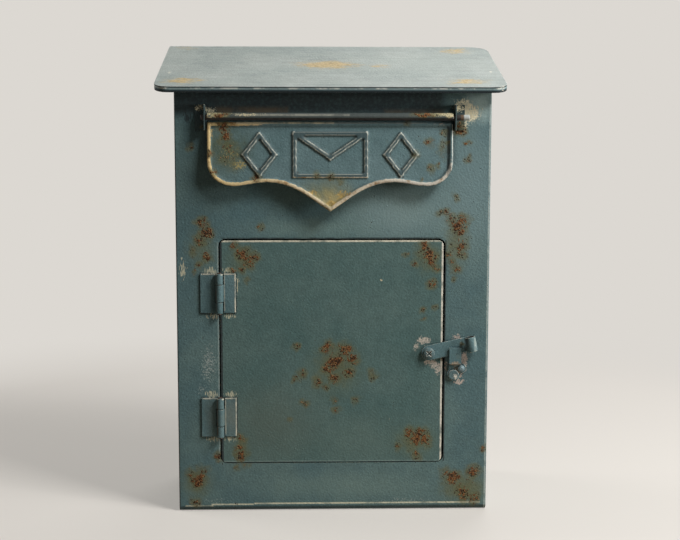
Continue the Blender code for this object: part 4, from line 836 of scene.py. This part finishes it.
softened("enamelled_body", "body_shell", "cabinet", body_paint, width=0.0005)
softened("enamelled_floor", "bottom_panel", "cabinet", inner_paint, width=0.0002)
softened("enamelled_back", "back_panel", "cabinet", inner_paint, width=0.0002)
softened("pale_roof", "roof", "cabinet", roof_paint, width=0.0004, bead=0.0021)
softened("enamelled_door", "door", "door", door_paint, width=0.0006)
worn_smooth("pressed_flap", "flap", "flap", flap_paint,
            voxel=0.00065, passes=2, mark=mark_flap)
worn_smooth("turned_latch_bar", "latch_bar", "latch", hardware_paint,
            voxel=0.00025, passes=2)
worn_smooth("bent_keeper", "keeper", "cabinet", hardware_paint,
            voxel=0.00025, passes=2)
for side in ("left", "right"):
    worn_smooth(f"{side}_rod_bracket", f"flap_bracket_{side}", "cabinet",
                bracket_paint, voxel=0.00022, passes=1)
for place in ("upper", "lower"):
    for leaf, body in (("frame", "cabinet"), ("door", "door")):
        worn_smooth(f"{place}_{leaf}_leaf", f"{place}_hinge_{leaf}_leaf", body,
                    hinge_paint, voxel=0.00028, passes=1)
worn_smooth("painted_flat_rivet", "keeper_painted_rivet", "cabinet", screw_paint,
            voxel=0.00018, passes=1)
worn_smooth("painted_cross_screw", "latch_screw", "door", screw_paint,
            voxel=0.00018, passes=1)

# The plain round parts keep their own mesh
for node, material in (("flap_rod", rod_steel), ("keeper_bare_rivet", bare_steel),
                       ("latch_washer", dark_steel), ("latch_nut", dark_steel),
                       ("upper_hinge_pin", dark_steel), ("lower_hinge_pin", dark_steel)):
    for holder in nodes[node].material_slots:
        holder.material = material


# Floor, background, lamps and camera

# In metres: the floor's radius, and the stretch over which it turns into the background. A share of
# its colour near the object glows too, so that the shadow stays light.
FLOOR_RADIUS = 8.0
FLOOR_FROM = 0.3
FLOOR_TO = 0.85
FLOOR_GLOW = 0.4
BACKGROUND = "#dcd8d2"


def straight_rays(tree):
    """1 for rays that the camera sends, also by a mirror or through glass, and 0 for light on things."""
    ray = tree.nodes.new("ShaderNodeLightPath").outputs
    direct = add(tree, "ShaderNodeMath", {0: ray["Is Camera Ray"], 1: ray["Is Glossy Ray"]},
                 operation="MAXIMUM")
    return add(tree, "ShaderNodeMath", {0: direct, 1: ray["Is Transmission Ray"]}, operation="MAXIMUM")


def pale_floor(name, seen, felt, far):
    """A matt pale floor that keeps the shadow near the object and turns into the background far off.
    seen is its colour to the eye, felt the darker one whose light falls on the object, and far the
    background's."""
    material, tree = new_material(name)
    direct = straight_rays(tree)
    colour = add(tree, "ShaderNodeMix", {0: direct, 6: felt, 7: seen}, **BLEND)
    near = add(tree, "ShaderNodeBsdfPrincipled", {"Base Color": colour, "Roughness": 0.8})
    glow = add(tree, "ShaderNodeEmission", {"Color": far, "Strength": direct})
    lift = add(tree, "ShaderNodeMath", {0: direct, 1: FLOOR_GLOW}, operation="MULTIPLY")
    place = add(tree, "ShaderNodeTexCoord", output="Object")
    away = add(tree, "ShaderNodeVectorMath", {0: place}, output="Value", operation="LENGTH")
    away = add(tree, "ShaderNodeMapRange", {0: away, 1: FLOOR_FROM, 2: FLOOR_TO}, **SMOOTH)
    away = add(tree, "ShaderNodeMath", {0: away, 1: lift}, operation="MAXIMUM")
    mixed = add(tree, "ShaderNodeMixShader", {0: away, 1: near, 2: glow})
    add(tree, "ShaderNodeOutputMaterial", {"Surface": mixed})
    return material


ground = bmesh.new()
bmesh.ops.create_circle(ground, cap_ends=True, radius=FLOOR_RADIUS, segments=64)
ground_mesh = bpy.data.meshes.new("pale_floor")
ground.to_mesh(ground_mesh)
ground.free()
floor = bpy.data.objects.new("pale_floor", ground_mesh)
scene.collection.objects.link(floor)
ground_mesh.materials.append(pale_floor("matt pale floor", "#d5cfc7", "#ab9d89", BACKGROUND))

world = bpy.data.worlds.new("soft pale surroundings")
scene.world = world
world.use_nodes = True
air = world.node_tree
air.nodes.clear()
around = add(air, "ShaderNodeMix", {0: straight_rays(air), 6: "#2e2e2d", 7: BACKGROUND}, **BLEND)
around = add(air, "ShaderNodeBackground", {"Color": around, "Strength": 1.0})
add(air, "ShaderNodeOutputWorld", {"Surface": around})


def lamp(name, place, aim, size, power):
    """A white square soft box at a place, turned to its aim, with its size in metres and power in watts."""
    data = bpy.data.lights.new(name, "AREA")
    data.shape = "SQUARE"
    data.size = size
    data.energy = power
    made = bpy.data.objects.new(name, data)
    scene.collection.objects.link(made)
    made.matrix_world = Matrix.Translation(place) @ (Vector(aim) - Vector(place)).to_track_quat(
        "-Z", "Y").to_matrix().to_4x4()


lamp("key_box", (0.74, -0.61, 1.15), (0.0, 0.0, 0.2), size=0.4, power=18)
lamp("side_box", (1.19, -0.48, 0.42), (0.0, 0.0, 0.25), size=0.35, power=9)
lamp("left_box", (-1.9, 0.7, 1.1), (0.0, 0.0, 0.2), size=1.0, power=16)
lamp("back_box", (0.7, 2.0, 1.0), (0.0, 0.0, 0.2), size=1.2, power=20)

# The camera, fitted to corners of the object: its turns, its place in metres, its focal length in
# pixels of a picture of that width, and the sensor's width in millimetres
PITCH = radians(7.02)
YAW = radians(-1.65)
ROLL = radians(0.09)
EYE = (-0.0212, -1.0375, 0.319)
FOCUS_PX = 1244.0
WIDTH_PX = 680
SENSOR = 36.0

across = Vector((cos(YAW), sin(YAW), 0.0))
ahead = Vector((-sin(YAW) * cos(PITCH), cos(YAW) * cos(PITCH), -sin(PITCH)))
over = across.cross(ahead)
right = across * cos(ROLL) + over * sin(ROLL)
upward = over * cos(ROLL) - across * sin(ROLL)
eye_data = bpy.data.cameras.new("photo_camera")
eye_data.sensor_fit = "HORIZONTAL"
eye_data.sensor_width = SENSOR
eye_data.lens = SENSOR * FOCUS_PX / WIDTH_PX
eye_data.clip_start = 0.02
eye = bpy.data.objects.new("photo_camera", eye_data)
scene.collection.objects.link(eye)
turn = Matrix((right, upward, -ahead)).transposed().to_4x4()
eye.matrix_world = Matrix.Translation(EYE) @ turn
scene.camera = eye
scene.view_settings.view_transform = "Standard"
